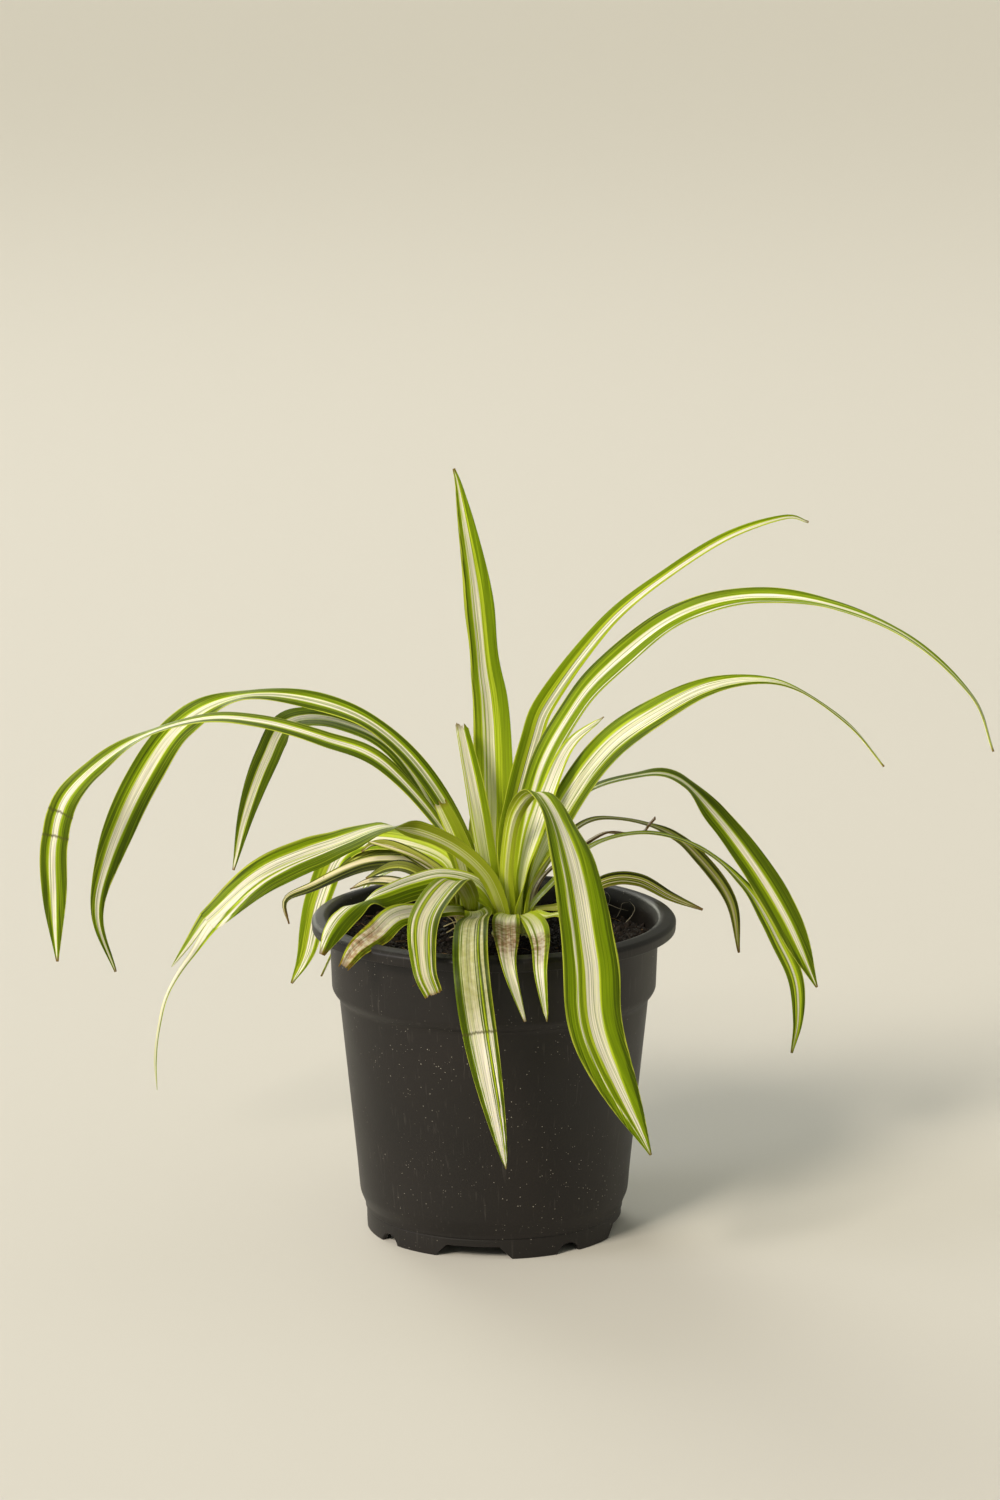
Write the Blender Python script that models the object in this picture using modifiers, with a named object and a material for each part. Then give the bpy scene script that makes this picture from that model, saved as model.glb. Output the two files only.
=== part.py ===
"""A potted spider plant: a thin nursery pot, peat, two crowns and their arching leaves.

Metres, +Z up, +X to the right, -Y to the front. The origin is on the pot's axis,
where its flat centre pad stands on the table. Sizes are in millimetres times MM.
"""
import math
from collections import namedtuple

import bmesh
import bpy
from mathutils import Matrix, Vector, noise

MM = 0.001
GAP = 0.3                  # clearance between pieces that touch

# Pot, a 12 cm nursery pot with a wall of 1 mm
POT_SIDES = 60
RIM_RADIUS = 60.2          # outer edge of the rolled lip
RIM_HEIGHT = 106.0
LIP_DROP = 4.8             # the lip's height, top to lower edge
COLLAR_RADIUS = 54.3       # wide band under the lip
COLLAR_BOTTOM = 81.0
BODY_TOP_RADIUS = 51.2
BODY_BOTTOM_RADIUS = 44.6
BODY_BOTTOM = 12.5
FOOT_RADIUS = 42.4
FOOT_WALL = 1.6
WALL = 1.0
FLOOR_HEIGHT = 4.4         # underside of the raised floor
PAD_RADIUS = 11.0          # flat pad in the middle that touches the table
PAD_SLOPE = 3.0            # how far the floor's slope runs out from the pad
FIRST_NOTCH = -9.5         # bearing of the front wide notch, degrees from the front
NOTCH_COUNT = 4            # of each kind, wide and round by turns
NOTCH_REACH = 9.0          # a notch cutter's length through the foot wall
WIDE_NOTCH_LOW = 28.0      # width below the table line
WIDE_NOTCH_HIGH = 17.5     # width at its top
WIDE_NOTCH_HEIGHT = 4.2
ROUND_NOTCH_RADIUS = 4.6
HOLE_RADIUS = 3.2          # drain holes in the floor
HOLE_CIRCLE = 27.0
HOLE_COUNT = 8
HOLE_SIDES = 16

# Soil and the two crowns
SOIL_LEVEL = 97.2
SOIL_RINGS = 7
SOIL_SIDES = 40
CROWN_TOP = 100.0
CROWN_DEPTH = 16.0
CROWN_SIDES = 28
Crown = namedtuple("Crown", "x y radius")
MAIN = Crown(6.5, 2.0, 7.6)
LEFT = Crown(-7.4, 4.6, 5.3)

# Leaf blades
BLADE = 0.7                # thickness
STATION = 9.0              # wanted distance between cross sections
FEWEST_STATIONS = 8
CURVE_STEPS = 24           # straight steps between two points of a midrib
BASE_SHARE = 0.42          # width at the crown over the leaf's full width
BASE_LIMIT = 4.2           # and at most this wide there
BASE_RISE = 6.0            # a leaf first goes straight up this far
BASE_EASE = 0.25           # share of the length in which the base's fold opens
TIP_CURVE = 1.9            # higher keeps a leaf wide for longer
STRIP_END = 0.6            # width of a torn strip's tip

Leaf = namedtuple("Leaf", "name crown seat width path roll fold widest swell end colour")


def leaf(name, crown, seat, width, path, roll=(0,), fold=14, widest=0.42, swell=1.0, end=0.8,
         colour="fresh"):
    """seat: ring radius and bearing on the crown. path: points of the midrib, mm from the axis.
    roll: turns about the midrib at even steps. widest: where the full width is reached, later
    with more swell. end: the width at the tip."""
    return Leaf(name, crown, seat, width, path, roll, fold, widest, swell, end, colour)


LEAVES = (
    # Upright leaves of the main crown
    leaf("leaf_tall", MAIN, (4.3, 132), 11.6,
         ((-1, 13, 124), (-3, 14, 165), (-4, 11, 203), (-8, 8, 230), (-13, 4, 252)),
         roll=(0, -55, -55, -55), fold=18, widest=0.36),
    leaf("leaf_tall_stub", MAIN, (5.7, 182), 5.4,
         ((-3, 1, 122), (-7, 2, 146), (-11, 4, 166)), roll=(0, -80), end=3.2, widest=0.3, colour="old"),
    leaf("leaf_right_high", MAIN, (2.8, 138), 8.2,
         ((2, 6, 121), (5, 9, 142), (25, 18, 180), (68, 35, 221), (106, 46, 230)),
         roll=(0, 0, -40, -70, -70), widest=0.3),
    leaf("leaf_right_long", MAIN, (2.8, 38), 11.0,
         ((9, 6, 124), (17, 6, 156), (34, -3, 187), (60, -22, 211), (92, -45, 222),
          (128, -66, 210), (156, -85, 180)), roll=(0, 20, 10, -10, -30, -35), widest=0.35),
    leaf("leaf_right_short", MAIN, (2.8, -42), 5.4,
         ((11, -4, 126), (18, -4, 147), (26, -4, 162), (35, -3, 173)), roll=(0, 70), widest=0.35),
    leaf("leaf_right_mid", MAIN, (4.3, 2), 9.6,
         ((13, 2, 121), (25, -4, 150), (50, -13, 180), (80, -20, 190), (108, -26, 182), (125, -29, 163)),
         roll=(0, 40, 40, 10, -10)),
    leaf("leaf_right_twisted", MAIN, (4.3, 64), 7.8,
         ((14, 12, 122), (36, 18, 146), (62, 24, 147), (86, 30, 117), (109, 34, 72)),
         roll=(0, -30, -10, 40, 50), widest=0.7, swell=2.2),
    leaf("leaf_right_low", MAIN, (5.7, 20), 7.6,
         ((19, 8, 120), (45, 28, 125), (73, 46, 114), (96, 56, 86), (103, 56, 43)),
         roll=(0, 30, 60, 80, 80), widest=0.7),
    leaf("leaf_right_thin", MAIN, (6.9, 62), 4.6,
         ((15, 20, 124), (30, 34, 129), (53, 50, 126), (74, 64, 106), (84, 66, 77)),
         roll=(0, 40, 80), widest=0.6, colour="old"),
    leaf("leaf_right_withered", MAIN, (6.9, 36), 3.6,
         ((17, 14, 117), (33, 28, 125), (42, 33, 125), (51, 37, 122)), colour="dry"),
    leaf("leaf_right_rim", MAIN, (6.9, 6), 4.8,
         ((20, 8, 108), (36, 17, 113), (55, 25, 110), (70, 30, 100)), roll=(0, 60, 60), colour="old"),

    # Front leaves, which hang over the rim
    leaf("leaf_front_broad", MAIN, (2.8, -122), 20.0,
         ((4, -6, 122), (9, -16, 146), (16, -28, 151), (25, -52, 136), (30, -70, 109), (33, -76, 84),
          (50, -78, 46)), roll=(0, 0, 45, 60, 60), widest=0.68, swell=2.6),
    leaf("leaf_front_creased", LEFT, (4.7, -76), 11.8,
         ((-5, -20, 110), (-7, -52, 114), (-7, -70, 105), (-4, -75, 83), (4, -70, 39)), widest=0.6,
         colour="old"),
    leaf("leaf_front_stained", MAIN, (6.9, -100), 7.6,
         ((4, -22, 109), (4, -50, 110), (5, -67, 104), (10, -67, 87)), swell=1.6, colour="old"),
    leaf("leaf_front_narrow", MAIN, (6.9, -66), 7.6,
         ((13, -24, 109), (15, -54, 110), (15, -68, 103), (17, -67, 87)), swell=1.6),
    leaf("leaf_front_stub", MAIN, (6.9, -34), 4.6,
         ((17, -9, 107), (22, -18, 110), (27, -27, 109))),
    leaf("leaf_front_cut", LEFT, (3.3, -100), 12.5,
         ((-10, -12, 115), (-15, -27, 123), (-23, -53, 117), (-22, -69, 105), (-19, -72, 97)), end=5.0),
    leaf("leaf_front_twisted", MAIN, (6.9, -155), 9.6,
         ((-6, -5, 116), (-15, -8, 122), (-31, -18, 125), (-42, -28, 120), (-51, -35, 111),
          (-56, -39, 102), (-59, -41, 94)), roll=(0, -20, -50, -50), widest=0.5),
    leaf("leaf_front_brown", LEFT, (4.7, -124), 7.2,
         ((-17, -11, 109), (-28, -28, 113), (-41, -44, 110), (-47, -52, 99)), roll=(0, -30, -40),
         widest=0.6, colour="old"),

    # Long leaves to the left
    leaf("leaf_left_split", MAIN, (5.7, -130), 14.0,
         ((-3, -11, 124), (-22, -16, 138), (-47, -25, 137), (-77, -38, 126), (-94, -44, 113)),
         roll=(0, 30, 40, -45, -55, -60, -60, -60), fold=10, widest=0.55, end=7.0),
    leaf("leaf_left_far", LEFT, (3.3, -178), 9.4,
         ((-14, 3, 128), (-32, 6, 150), (-64, 13, 166), (-97, 21, 168), (-131, 27, 150), (-150, 30, 127),
          (-149, 30, 112), (-147, 30, 82)), roll=(0, -40, -30, -10, -50, -80), widest=0.8),
    leaf("leaf_left_high", LEFT, (1.8, 150), 9.6,
         ((-10, 9, 127), (-32, 18, 159), (-68, 32, 174), (-101, 46, 164), (-126, 52, 131),
          (-136, 53, 94), (-128, 51, 72)), roll=(0, -30, -30, -70, -80), widest=0.65),
    leaf("leaf_left_back", LEFT, (3.3, 112), 7.8,
         ((-13, 17, 123), (-32, 31, 152), (-60, 45, 163), (-79, 56, 152), (-88, 61, 122), (-89, 62, 105)),
         roll=(0, -30, -60, -90), widest=0.7),
    leaf("leaf_left_stub", LEFT, (1.8, -60), 6.4,
         ((-9, 0, 122), (-13, -2, 134), (-18, -4, 145)), roll=(0, -40), end=4.6),

    # Low cluster at the back left
    leaf("leaf_cluster_hanging", LEFT, (4.7, 116), 8.6,
         ((-17, 20, 120), (-40, 32, 124), (-56, 44, 110), (-66, 50, 88), (-69, 51, 69)),
         roll=(0, -30, -80, -90), widest=0.6, swell=1.8),
    leaf("leaf_cluster_curled", LEFT, (4.7, 156), 4.4,
         ((-22, 12, 118), (-45, 21, 118), (-66, 29, 108), (-70, 31, 102), (-69, 30, 95)), roll=(0, -50),
         colour="old"),
    leaf("leaf_cluster_spotted", LEFT, (4.7, -160), 4.0,
         ((-17, 0, 108), (-30, 7, 114), (-40, 13, 114), (-48, 18, 110)), roll=(0, -50), swell=2.0,
         colour="old"),
    leaf("leaf_cluster_dry", LEFT, (4.7, 176), 2.0,
         ((-14, 6, 114), (-26, 8, 123), (-43, 12, 128)), roll=(0, -40), colour="dry"),

    # Rear leaves, low and arching back
    leaf("leaf_rear_1", MAIN, (6.9, 94), 8.0,
         ((8, 26, 113), (15, 52, 118), (26, 78, 98), (34, 88, 56))),
    leaf("leaf_rear_2", MAIN, (5.7, 116), 9.0,
         ((1, 25, 126), (-2, 54, 133), (-6, 86, 108), (-10, 98, 60))),
    leaf("leaf_rear_3", MAIN, (6.9, 132), 7.0,
         ((-3, 20, 111), (-12, 46, 115), (-24, 70, 94), (-34, 77, 62))),
    leaf("leaf_rear_4", LEFT, (4.7, 62), 7.0,
         ((-8, 26, 109), (-24, 50, 112), (-44, 70, 98), (-60, 80, 64))),
)

SPLIT_LEAF = "leaf_left_split"
# This leaf parts at its end into a short strip and a long thin one: path and width at its half
SPLIT_TIPS = (
    (((-99, -45, 108), (-104, -47, 100)), 3.6),
    (((-95, -47, 107), (-99, -48, 102), (-107, -50, 88), (-110, -51, 71), (-108, -50, 59)), 2.2),
)

BLACK_PLASTIC = (0.022, 0.021, 0.020, 1.0)
PEAT = (0.020, 0.014, 0.010, 1.0)
ROOTSTOCK = (0.50, 0.46, 0.28, 1.0)
LEAF_COLOURS = {
    "fresh": (0.30, 0.47, 0.06, 1.0),
    "old": (0.28, 0.33, 0.10, 1.0),
    "dry": (0.42, 0.30, 0.16, 1.0),
}


def clear_scene():
    for ob in list(bpy.data.objects):
        bpy.data.objects.remove(ob, do_unlink=True)


def new_collection(name):
    collection = bpy.data.collections.new(name)
    bpy.context.scene.collection.children.link(collection)
    return collection


def make_material(name, colour, roughness):
    material = bpy.data.materials.new(name)
    material.use_nodes = True
    shader = material.node_tree.nodes["Principled BSDF"]
    shader.inputs["Base Color"].default_value = colour
    shader.inputs["Roughness"].default_value = roughness
    shader.inputs["Metallic"].default_value = 0.0
    return material


def add_object(name, bm, collection, material=None):
    """Turns a bmesh in millimetres into an object in metres."""
    bmesh.ops.scale(bm, vec=(MM, MM, MM), verts=bm.verts)
    mesh = bpy.data.meshes.new(name)
    bm.to_mesh(mesh)
    bm.free()
    ob = bpy.data.objects.new(name, mesh)
    collection.objects.link(ob)
    if material:
        mesh.materials.append(material)
    return ob


def add_cutter(name, bm, collection):
    ob = add_object(name, bm, collection)
    ob.display_type = "WIRE"
    ob.hide_render = True


def add_profile(bm, profile):
    """Lays (radius, height) points in the XZ plane and joins them by edges."""
    points = [bm.verts.new((radius, 0.0, height)) for radius, height in profile]
    return points + [bm.edges.new(pair) for pair in zip(points, points[1:])]


def turned(name, profile, sides, collection, material):
    """A body turned about Z from a profile that runs down its outer side."""
    bm = bmesh.new()
    add_profile(bm, profile)
    ob = add_object(name, bm, collection, material)
    screw = ob.modifiers.new("turn", "SCREW")
    screw.axis = "Z"
    screw.steps = sides
    screw.render_steps = sides
    screw.use_merge_vertices = True
    screw.merge_threshold = 0.00001
    return ob


def cut(ob, cutters):
    boolean = ob.modifiers.new("cut", "BOOLEAN")
    boolean.operation = "DIFFERENCE"
    boolean.operand_type = "COLLECTION"
    boolean.collection = cutters
    boolean.solver = "EXACT"


def inner_profile(inset):
    """The inside of the pot from the axis out and up, drawn in by the inset."""
    pad = FLOOR_HEIGHT + WALL
    return [
        (0.0, WALL + inset),
        (PAD_RADIUS - WALL - inset, WALL + inset),
        (PAD_RADIUS + PAD_SLOPE - WALL - inset, pad + inset),
        (FOOT_RADIUS - 1.0 - inset, pad + inset),
        (BODY_BOTTOM_RADIUS - WALL - inset, BODY_BOTTOM + inset),
        (BODY_TOP_RADIUS - WALL - inset, COLLAR_BOTTOM - 2.0),
        (COLLAR_RADIUS - WALL - 0.8 - inset, COLLAR_BOTTOM + 1.0),
    ]


def make_pot(collection, material):
    lip_bottom = RIM_HEIGHT - LIP_DROP
    profile = inner_profile(0.0) + [
        # over the lip and under it
        (COLLAR_RADIUS - WALL, RIM_HEIGHT - 4.0),
        (COLLAR_RADIUS + 0.2, RIM_HEIGHT - 0.9),
        (COLLAR_RADIUS + 1.5, RIM_HEIGHT),
        (RIM_RADIUS - 1.6, RIM_HEIGHT - 1.0),
        (RIM_RADIUS, RIM_HEIGHT - 2.6),
        (RIM_RADIUS - 0.2, lip_bottom),
        (RIM_RADIUS - 1.4, lip_bottom),
        (RIM_RADIUS - 1.7, RIM_HEIGHT - 2.6),
        (COLLAR_RADIUS + 1.2, RIM_HEIGHT - 2.2),
        # down the collar, the body and the foot
        (COLLAR_RADIUS, RIM_HEIGHT - 4.4),
        (COLLAR_RADIUS - 0.7, COLLAR_BOTTOM + 0.6),
        (COLLAR_RADIUS - 1.5, COLLAR_BOTTOM - 0.8),
        (BODY_TOP_RADIUS, COLLAR_BOTTOM - 2.6),
        (BODY_BOTTOM_RADIUS, BODY_BOTTOM),
        (FOOT_RADIUS + 0.3, BODY_BOTTOM - 3.8),
        (FOOT_RADIUS, BODY_BOTTOM - 5.0),
        (FOOT_RADIUS, 0.0),
        # back to the axis under the raised floor
        (FOOT_RADIUS - FOOT_WALL, 0.0),
        (FOOT_RADIUS - FOOT_WALL, FLOOR_HEIGHT),
        (PAD_RADIUS + PAD_SLOPE, FLOOR_HEIGHT),
        (PAD_RADIUS, 0.0),
        (0.0, 0.0),
    ]
    pot = turned("pot", profile, POT_SIDES, collection, material)
    cutters = new_collection("pot_cutters")
    between = math.tau / NOTCH_COUNT
    for index in range(NOTCH_COUNT):
        bearing = math.radians(FIRST_NOTCH - 90.0) + index * between
        add_wide_notch("notch_wide_%d" % index, bearing, cutters)
        add_round_notch("notch_round_%d" % index, bearing + between / 2, cutters)
    for index in range(HOLE_COUNT):
        add_drain_hole("hole_%d" % index, math.tau * (index + 0.5) / HOLE_COUNT, cutters)
    cut(pot, cutters)


def add_wide_notch(name, bearing, cutters):
    """A wedge with slanted sides, through the foot wall."""
    bm = bmesh.new()
    bmesh.ops.create_cube(bm, size=1.0)
    for vert in bm.verts:
        top = vert.co.z > 0.0
        vert.co.x = FOOT_RADIUS + vert.co.x * NOTCH_REACH
        vert.co.y *= WIDE_NOTCH_HIGH if top else WIDE_NOTCH_LOW
        vert.co.z = WIDE_NOTCH_HEIGHT if top else -1.0
    bmesh.ops.rotate(bm, cent=(0, 0, 0), matrix=Matrix.Rotation(bearing, 3, "Z"), verts=bm.verts)
    add_cutter(name, bm, cutters)


def add_round_notch(name, bearing, cutters):
    """A lying cylinder with its axis just under the table line, through the foot wall."""
    bm = bmesh.new()
    bmesh.ops.create_cone(bm, cap_ends=True, segments=20, radius1=ROUND_NOTCH_RADIUS,
                          radius2=ROUND_NOTCH_RADIUS, depth=NOTCH_REACH)
    bmesh.ops.rotate(bm, cent=(0, 0, 0), matrix=Matrix.Rotation(math.pi / 2, 3, "Y"), verts=bm.verts)
    bmesh.ops.translate(bm, vec=(FOOT_RADIUS, 0.0, -1.2), verts=bm.verts)
    bmesh.ops.rotate(bm, cent=(0, 0, 0), matrix=Matrix.Rotation(bearing, 3, "Z"), verts=bm.verts)
    add_cutter(name, bm, cutters)


def add_drain_hole(name, bearing, cutters):
    bm = bmesh.new()
    bmesh.ops.create_cone(bm, cap_ends=True, segments=HOLE_SIDES, radius1=HOLE_RADIUS,
                          radius2=HOLE_RADIUS, depth=4.0 * WALL)
    middle = (HOLE_CIRCLE * math.cos(bearing), HOLE_CIRCLE * math.sin(bearing), FLOOR_HEIGHT)
    bmesh.ops.translate(bm, vec=middle, verts=bm.verts)
    add_cutter(name, bm, cutters)


def soil_height(x, y):
    """Uneven peat, a little higher in the middle."""
    mound = 1.3 * math.exp(-(x * x + y * y) / 900.0)
    lumps = 0.9 * noise.noise(Vector((x * 0.09, y * 0.09, 3.0)))
    crumbs = 0.5 * noise.noise(Vector((x * 0.2, y * 0.2, 8.0)))
    return SOIL_LEVEL + mound + lumps + crumbs


def make_soil(collection, material):
    """Turned inside the pot with a gap, its top lifted into low lumps, with a hole for each crown."""
    reach = COLLAR_RADIUS - WALL - 0.5 - GAP
    top = [(reach * (1.0 - step / SOIL_RINGS), SOIL_LEVEL) for step in range(SOIL_RINGS + 1)]
    bm = bmesh.new()
    profile = add_profile(bm, inner_profile(GAP) + top)
    bmesh.ops.spin(bm, geom=profile, cent=(0, 0, 0), axis=(0, 0, 1), angle=math.tau, steps=SOIL_SIDES,
                   use_merge=True)
    bmesh.ops.remove_doubles(bm, verts=bm.verts, dist=0.001)
    for vert in bm.verts:
        if abs(vert.co.z - SOIL_LEVEL) < 0.001:
            vert.co.z = soil_height(vert.co.x, vert.co.y)
    bmesh.ops.recalc_face_normals(bm, faces=bm.faces)
    bmesh.ops.triangulate(bm, faces=bm.faces)
    soil = add_object("soil", bm, collection, material)

    cutters = new_collection("soil_cutters")
    for name, crown in (("main", MAIN), ("left", LEFT)):
        bm = bmesh.new()
        depth = 2.0 * CROWN_DEPTH
        bmesh.ops.create_cone(bm, cap_ends=True, segments=CROWN_SIDES, radius1=crown.radius + GAP,
                              radius2=crown.radius + GAP, depth=depth)
        bottom = CROWN_TOP - CROWN_DEPTH - GAP
        bmesh.ops.translate(bm, vec=(crown.x, crown.y, bottom + depth / 2.0), verts=bm.verts)
        add_cutter("crown_hole_" + name, bm, cutters)
    cut(soil, cutters)


def make_crown(name, crown, collection, material):
    """The short rootstock that the leaves stand on."""
    bottom = CROWN_TOP - CROWN_DEPTH
    profile = [(0.0, CROWN_TOP), (crown.radius - 0.6, CROWN_TOP), (crown.radius, CROWN_TOP - 0.6),
               (crown.radius, bottom + 5.0), (crown.radius * 0.7, bottom), (0.0, bottom)]
    ob = turned(name, profile, CROWN_SIDES, collection, material)
    ob.location = (crown.x * MM, crown.y * MM, 0.0)


def smooth_path(points):
    """Points at even distances along a Catmull-Rom curve through the given ones."""
    ends = [2 * points[0] - points[1]] + points + [2 * points[-1] - points[-2]]
    dense = []
    for p0, p1, p2, p3 in zip(ends, ends[1:], ends[2:], ends[3:]):
        for step in range(CURVE_STEPS):
            t = step / CURVE_STEPS
            linear = (p2 - p0) * t
            square = (2 * p0 - 5 * p1 + 4 * p2 - p3) * t ** 2
            cube = (3 * p1 - p0 - 3 * p2 + p3) * t ** 3
            dense.append(0.5 * (2 * p1 + linear + square + cube))
    dense.append(points[-1])
    lengths = [0.0]
    for a, b in zip(dense, dense[1:]):
        lengths.append(lengths[-1] + (b - a).length)
    count = max(FEWEST_STATIONS, round(lengths[-1] / STATION))
    even = []
    index = 0
    for step in range(count + 1):
        target = lengths[-1] * step / count
        while index < len(dense) - 2 and lengths[index + 1] < target:
            index += 1
        share = (target - lengths[index]) / (lengths[index + 1] - lengths[index])
        even.append(dense[index].lerp(dense[index + 1], min(share, 1.0)))
    return even


def at_station(values, share):
    """A value from a short list that is spread evenly over the length."""
    if len(values) == 1:
        return values[0]
    place = share * (len(values) - 1)
    index = min(int(place), len(values) - 2)
    blend = place - index
    blend = blend * blend * (3 - 2 * blend)
    return values[index] * (1 - blend) + values[index + 1] * blend


def blade_width(spec, share):
    """Narrow at the crown, full at the widest place, drawn out to the tip."""
    base = min(spec.width * BASE_SHARE, BASE_LIMIT)
    if share < spec.widest:
        rise = math.sin(0.5 * math.pi * share / spec.widest)
        return base + (spec.width - base) * rise ** spec.swell
    fall = (share - spec.widest) / (1.0 - spec.widest)
    return spec.end + (spec.width - spec.end) * (1.0 - fall ** TIP_CURVE)


def leaf_sections(spec):
    """Cross sections of a leaf, each as left edge, midrib and right edge."""
    radius, degrees = spec.seat
    bearing = math.radians(degrees)
    outwards = Vector((math.cos(bearing), math.sin(bearing), 0.0))
    start = Vector((spec.crown.x, spec.crown.y, CROWN_TOP + GAP)) + outwards * radius
    tangent = Vector((0.0, 0.0, 1.0))
    side = tangent.cross(outwards)
    centre = smooth_path([start, start + tangent * BASE_RISE] + [Vector(point) for point in spec.path])
    base_fold = math.asin(0.25 * blade_width(spec, 0.0) / radius)     # wraps the blade round its ring
    last = len(centre) - 1
    sections = []
    for index, point in enumerate(centre):
        share = index / last
        if index:
            ahead = (centre[min(index + 1, last)] - centre[index - 1]).normalized()
            side = tangent.rotation_difference(ahead) @ side
            tangent = ahead
        roll = math.radians(at_station(spec.roll, share))
        across = Matrix.Rotation(roll, 3, tangent) @ side
        upper = tangent.cross(across)
        half = 0.5 * blade_width(spec, share)
        ease = min(share / BASE_EASE, 1.0)
        fold = base_fold + (math.radians(spec.fold) - base_fold) * ease
        lift = upper * (half * math.sin(fold))
        reach = across * (half * math.cos(fold))
        sections.append((point - reach + lift, point, point + reach + lift))
    return sections


def add_strip(bm, edge, path, width):
    """A pointed strip that goes on from one half of a blade's last cross section."""
    start = (edge[0].co + edge[1].co) / 2.0
    centre = smooth_path([start] + [Vector(point) for point in path])
    side = (edge[1].co - edge[0].co).normalized()
    row = edge
    for index in range(1, len(centre)):
        share = index / (len(centre) - 1)
        ahead = (centre[index] - centre[index - 1]).normalized()
        side = (side - ahead * side.dot(ahead)).normalized()
        half = 0.5 * (STRIP_END + (width - STRIP_END) * (1.0 - share ** 2.0))
        following = [bm.verts.new(centre[index] - side * half), bm.verts.new(centre[index] + side * half)]
        bm.faces.new((row[0], row[1], following[1], following[0]))
        row = following


def make_leaf(spec, collection, material):
    """A folded strip along the midrib, split into triangles and then given its thickness."""
    bm = bmesh.new()
    rows = [[bm.verts.new(place) for place in section] for section in leaf_sections(spec)]
    for row, following in zip(rows, rows[1:]):
        for a, b in ((0, 1), (1, 2)):
            bm.faces.new((row[a], row[b], following[b], following[a]))
    if spec.name == SPLIT_LEAF:
        for (path, width), edge in zip(SPLIT_TIPS, (rows[-1][:2], rows[-1][1:])):
            add_strip(bm, edge, path, width)
    bmesh.ops.triangulate(bm, faces=bm.faces)
    ob = add_object(spec.name, bm, collection, material)
    solidify = ob.modifiers.new("thickness", "SOLIDIFY")
    solidify.thickness = BLADE * MM
    solidify.offset = 0.0


def main():
    clear_scene()
    plant = new_collection("potted_spider_plant")
    make_pot(plant, make_material("black_plastic", BLACK_PLASTIC, 0.5))
    make_soil(plant, make_material("peat", PEAT, 0.95))
    make_crown("crown_main", MAIN, plant, make_material("rootstock_main", ROOTSTOCK, 0.7))
    make_crown("crown_left", LEFT, plant, make_material("rootstock_left", ROOTSTOCK, 0.7))
    for spec in LEAVES:
        make_leaf(spec, plant, make_material(spec.name, LEAF_COLOURS[spec.colour], 0.4))


if __name__ == "__main__":
    main()
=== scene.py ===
import math
from functools import partial
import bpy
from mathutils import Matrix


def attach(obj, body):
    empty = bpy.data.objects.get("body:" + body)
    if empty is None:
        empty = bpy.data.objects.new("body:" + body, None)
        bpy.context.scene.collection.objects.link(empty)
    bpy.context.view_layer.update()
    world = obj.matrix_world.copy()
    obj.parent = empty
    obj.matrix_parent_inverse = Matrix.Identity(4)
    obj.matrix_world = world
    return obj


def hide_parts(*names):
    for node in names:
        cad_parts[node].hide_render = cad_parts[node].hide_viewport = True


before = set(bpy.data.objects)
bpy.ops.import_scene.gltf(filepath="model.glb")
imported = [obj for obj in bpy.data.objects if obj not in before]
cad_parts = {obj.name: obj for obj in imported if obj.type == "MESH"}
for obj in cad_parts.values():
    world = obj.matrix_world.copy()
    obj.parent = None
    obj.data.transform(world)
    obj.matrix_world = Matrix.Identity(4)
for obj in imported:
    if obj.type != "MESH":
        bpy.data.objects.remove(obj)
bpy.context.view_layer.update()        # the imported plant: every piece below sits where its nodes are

from types import SimpleNamespace

import bmesh
import bpy
import numpy as np
from mathutils import Matrix, Vector, noise

mm = 0.001
scene = bpy.context.scene
pieces = bpy.data.collections.new("plantPieces")
scene.collection.children.link(pieces)


# Linear colour of an sRGB hex value
def srgb(hexText):
    parts = [int(hexText[i:i + 2], 16) / 255 for i in (1, 3, 5)]
    return (*(c / 12.92 if c <= 0.04045 else ((c + 0.055) / 1.055) ** 2.4 for c in parts), 1.0)


# Numbers from a short text, as one row, or as rows where it has commas
def numbers(text):
    rows = [tuple(map(float, row.split())) for row in text.split(",")]
    return rows if len(rows) > 1 else rows[0]


# Fills a node's inputs, bare values in order and others by name. A node stands for its first output.
def setInputs(node, *values, **named):
    pairs = [*zip([socket for socket in node.inputs if socket.enabled], values),
             *((node.inputs[key.replace("_", " ")], value) for key, value in named.items())]
    for socket, value in pairs:
        if isinstance(value, bpy.types.Node):
            value = next(output for output in value.outputs if output.enabled)
        if isinstance(value, bpy.types.NodeSocket):
            node.id_data.links.new(value, socket)
        else:
            socket.default_value = value
    return node


# Adds a node. What is named in small letters is a setting of it, and all else goes to its inputs.
def addNode(tree, kind, *values, **named):
    node = tree.nodes.new(kind if "Node" in kind else "ShaderNode" + kind)
    for key in [key for key in named if key[0].islower()]:
        setattr(node, key, named.pop(key))
    return setInputs(node, *values, **named)


# A Principled material with plain values, what adds nodes to it, and its shader
def newMaterial(name, **values):
    material = bpy.data.materials.new(name)
    material.use_nodes = True
    tree = material.node_tree
    return material, partial(addNode, tree), setInputs(tree.nodes["Principled BSDF"], **values)


# Fills a colour ramp from (position, hex colour) pairs in order
def setRamp(node, *stops):
    elements = node.color_ramp.elements
    while len(elements) > 1:
        elements.remove(elements[-1])
    elements[0].position, elements[0].color = stops[0][0], srgb(stops[0][1])
    for position, colour in stops[1:]:
        elements.new(position).color = srgb(colour)
    return node


# A mesh from a bmesh, which is then freed
def newMesh(name, bm):
    mesh = bpy.data.meshes.new(name)
    bm.to_mesh(mesh)
    bm.free()
    return mesh


def newObject(name, data, collection=scene.collection):
    ob = bpy.data.objects.new(name, data)
    collection.objects.link(ob)
    return ob


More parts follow.
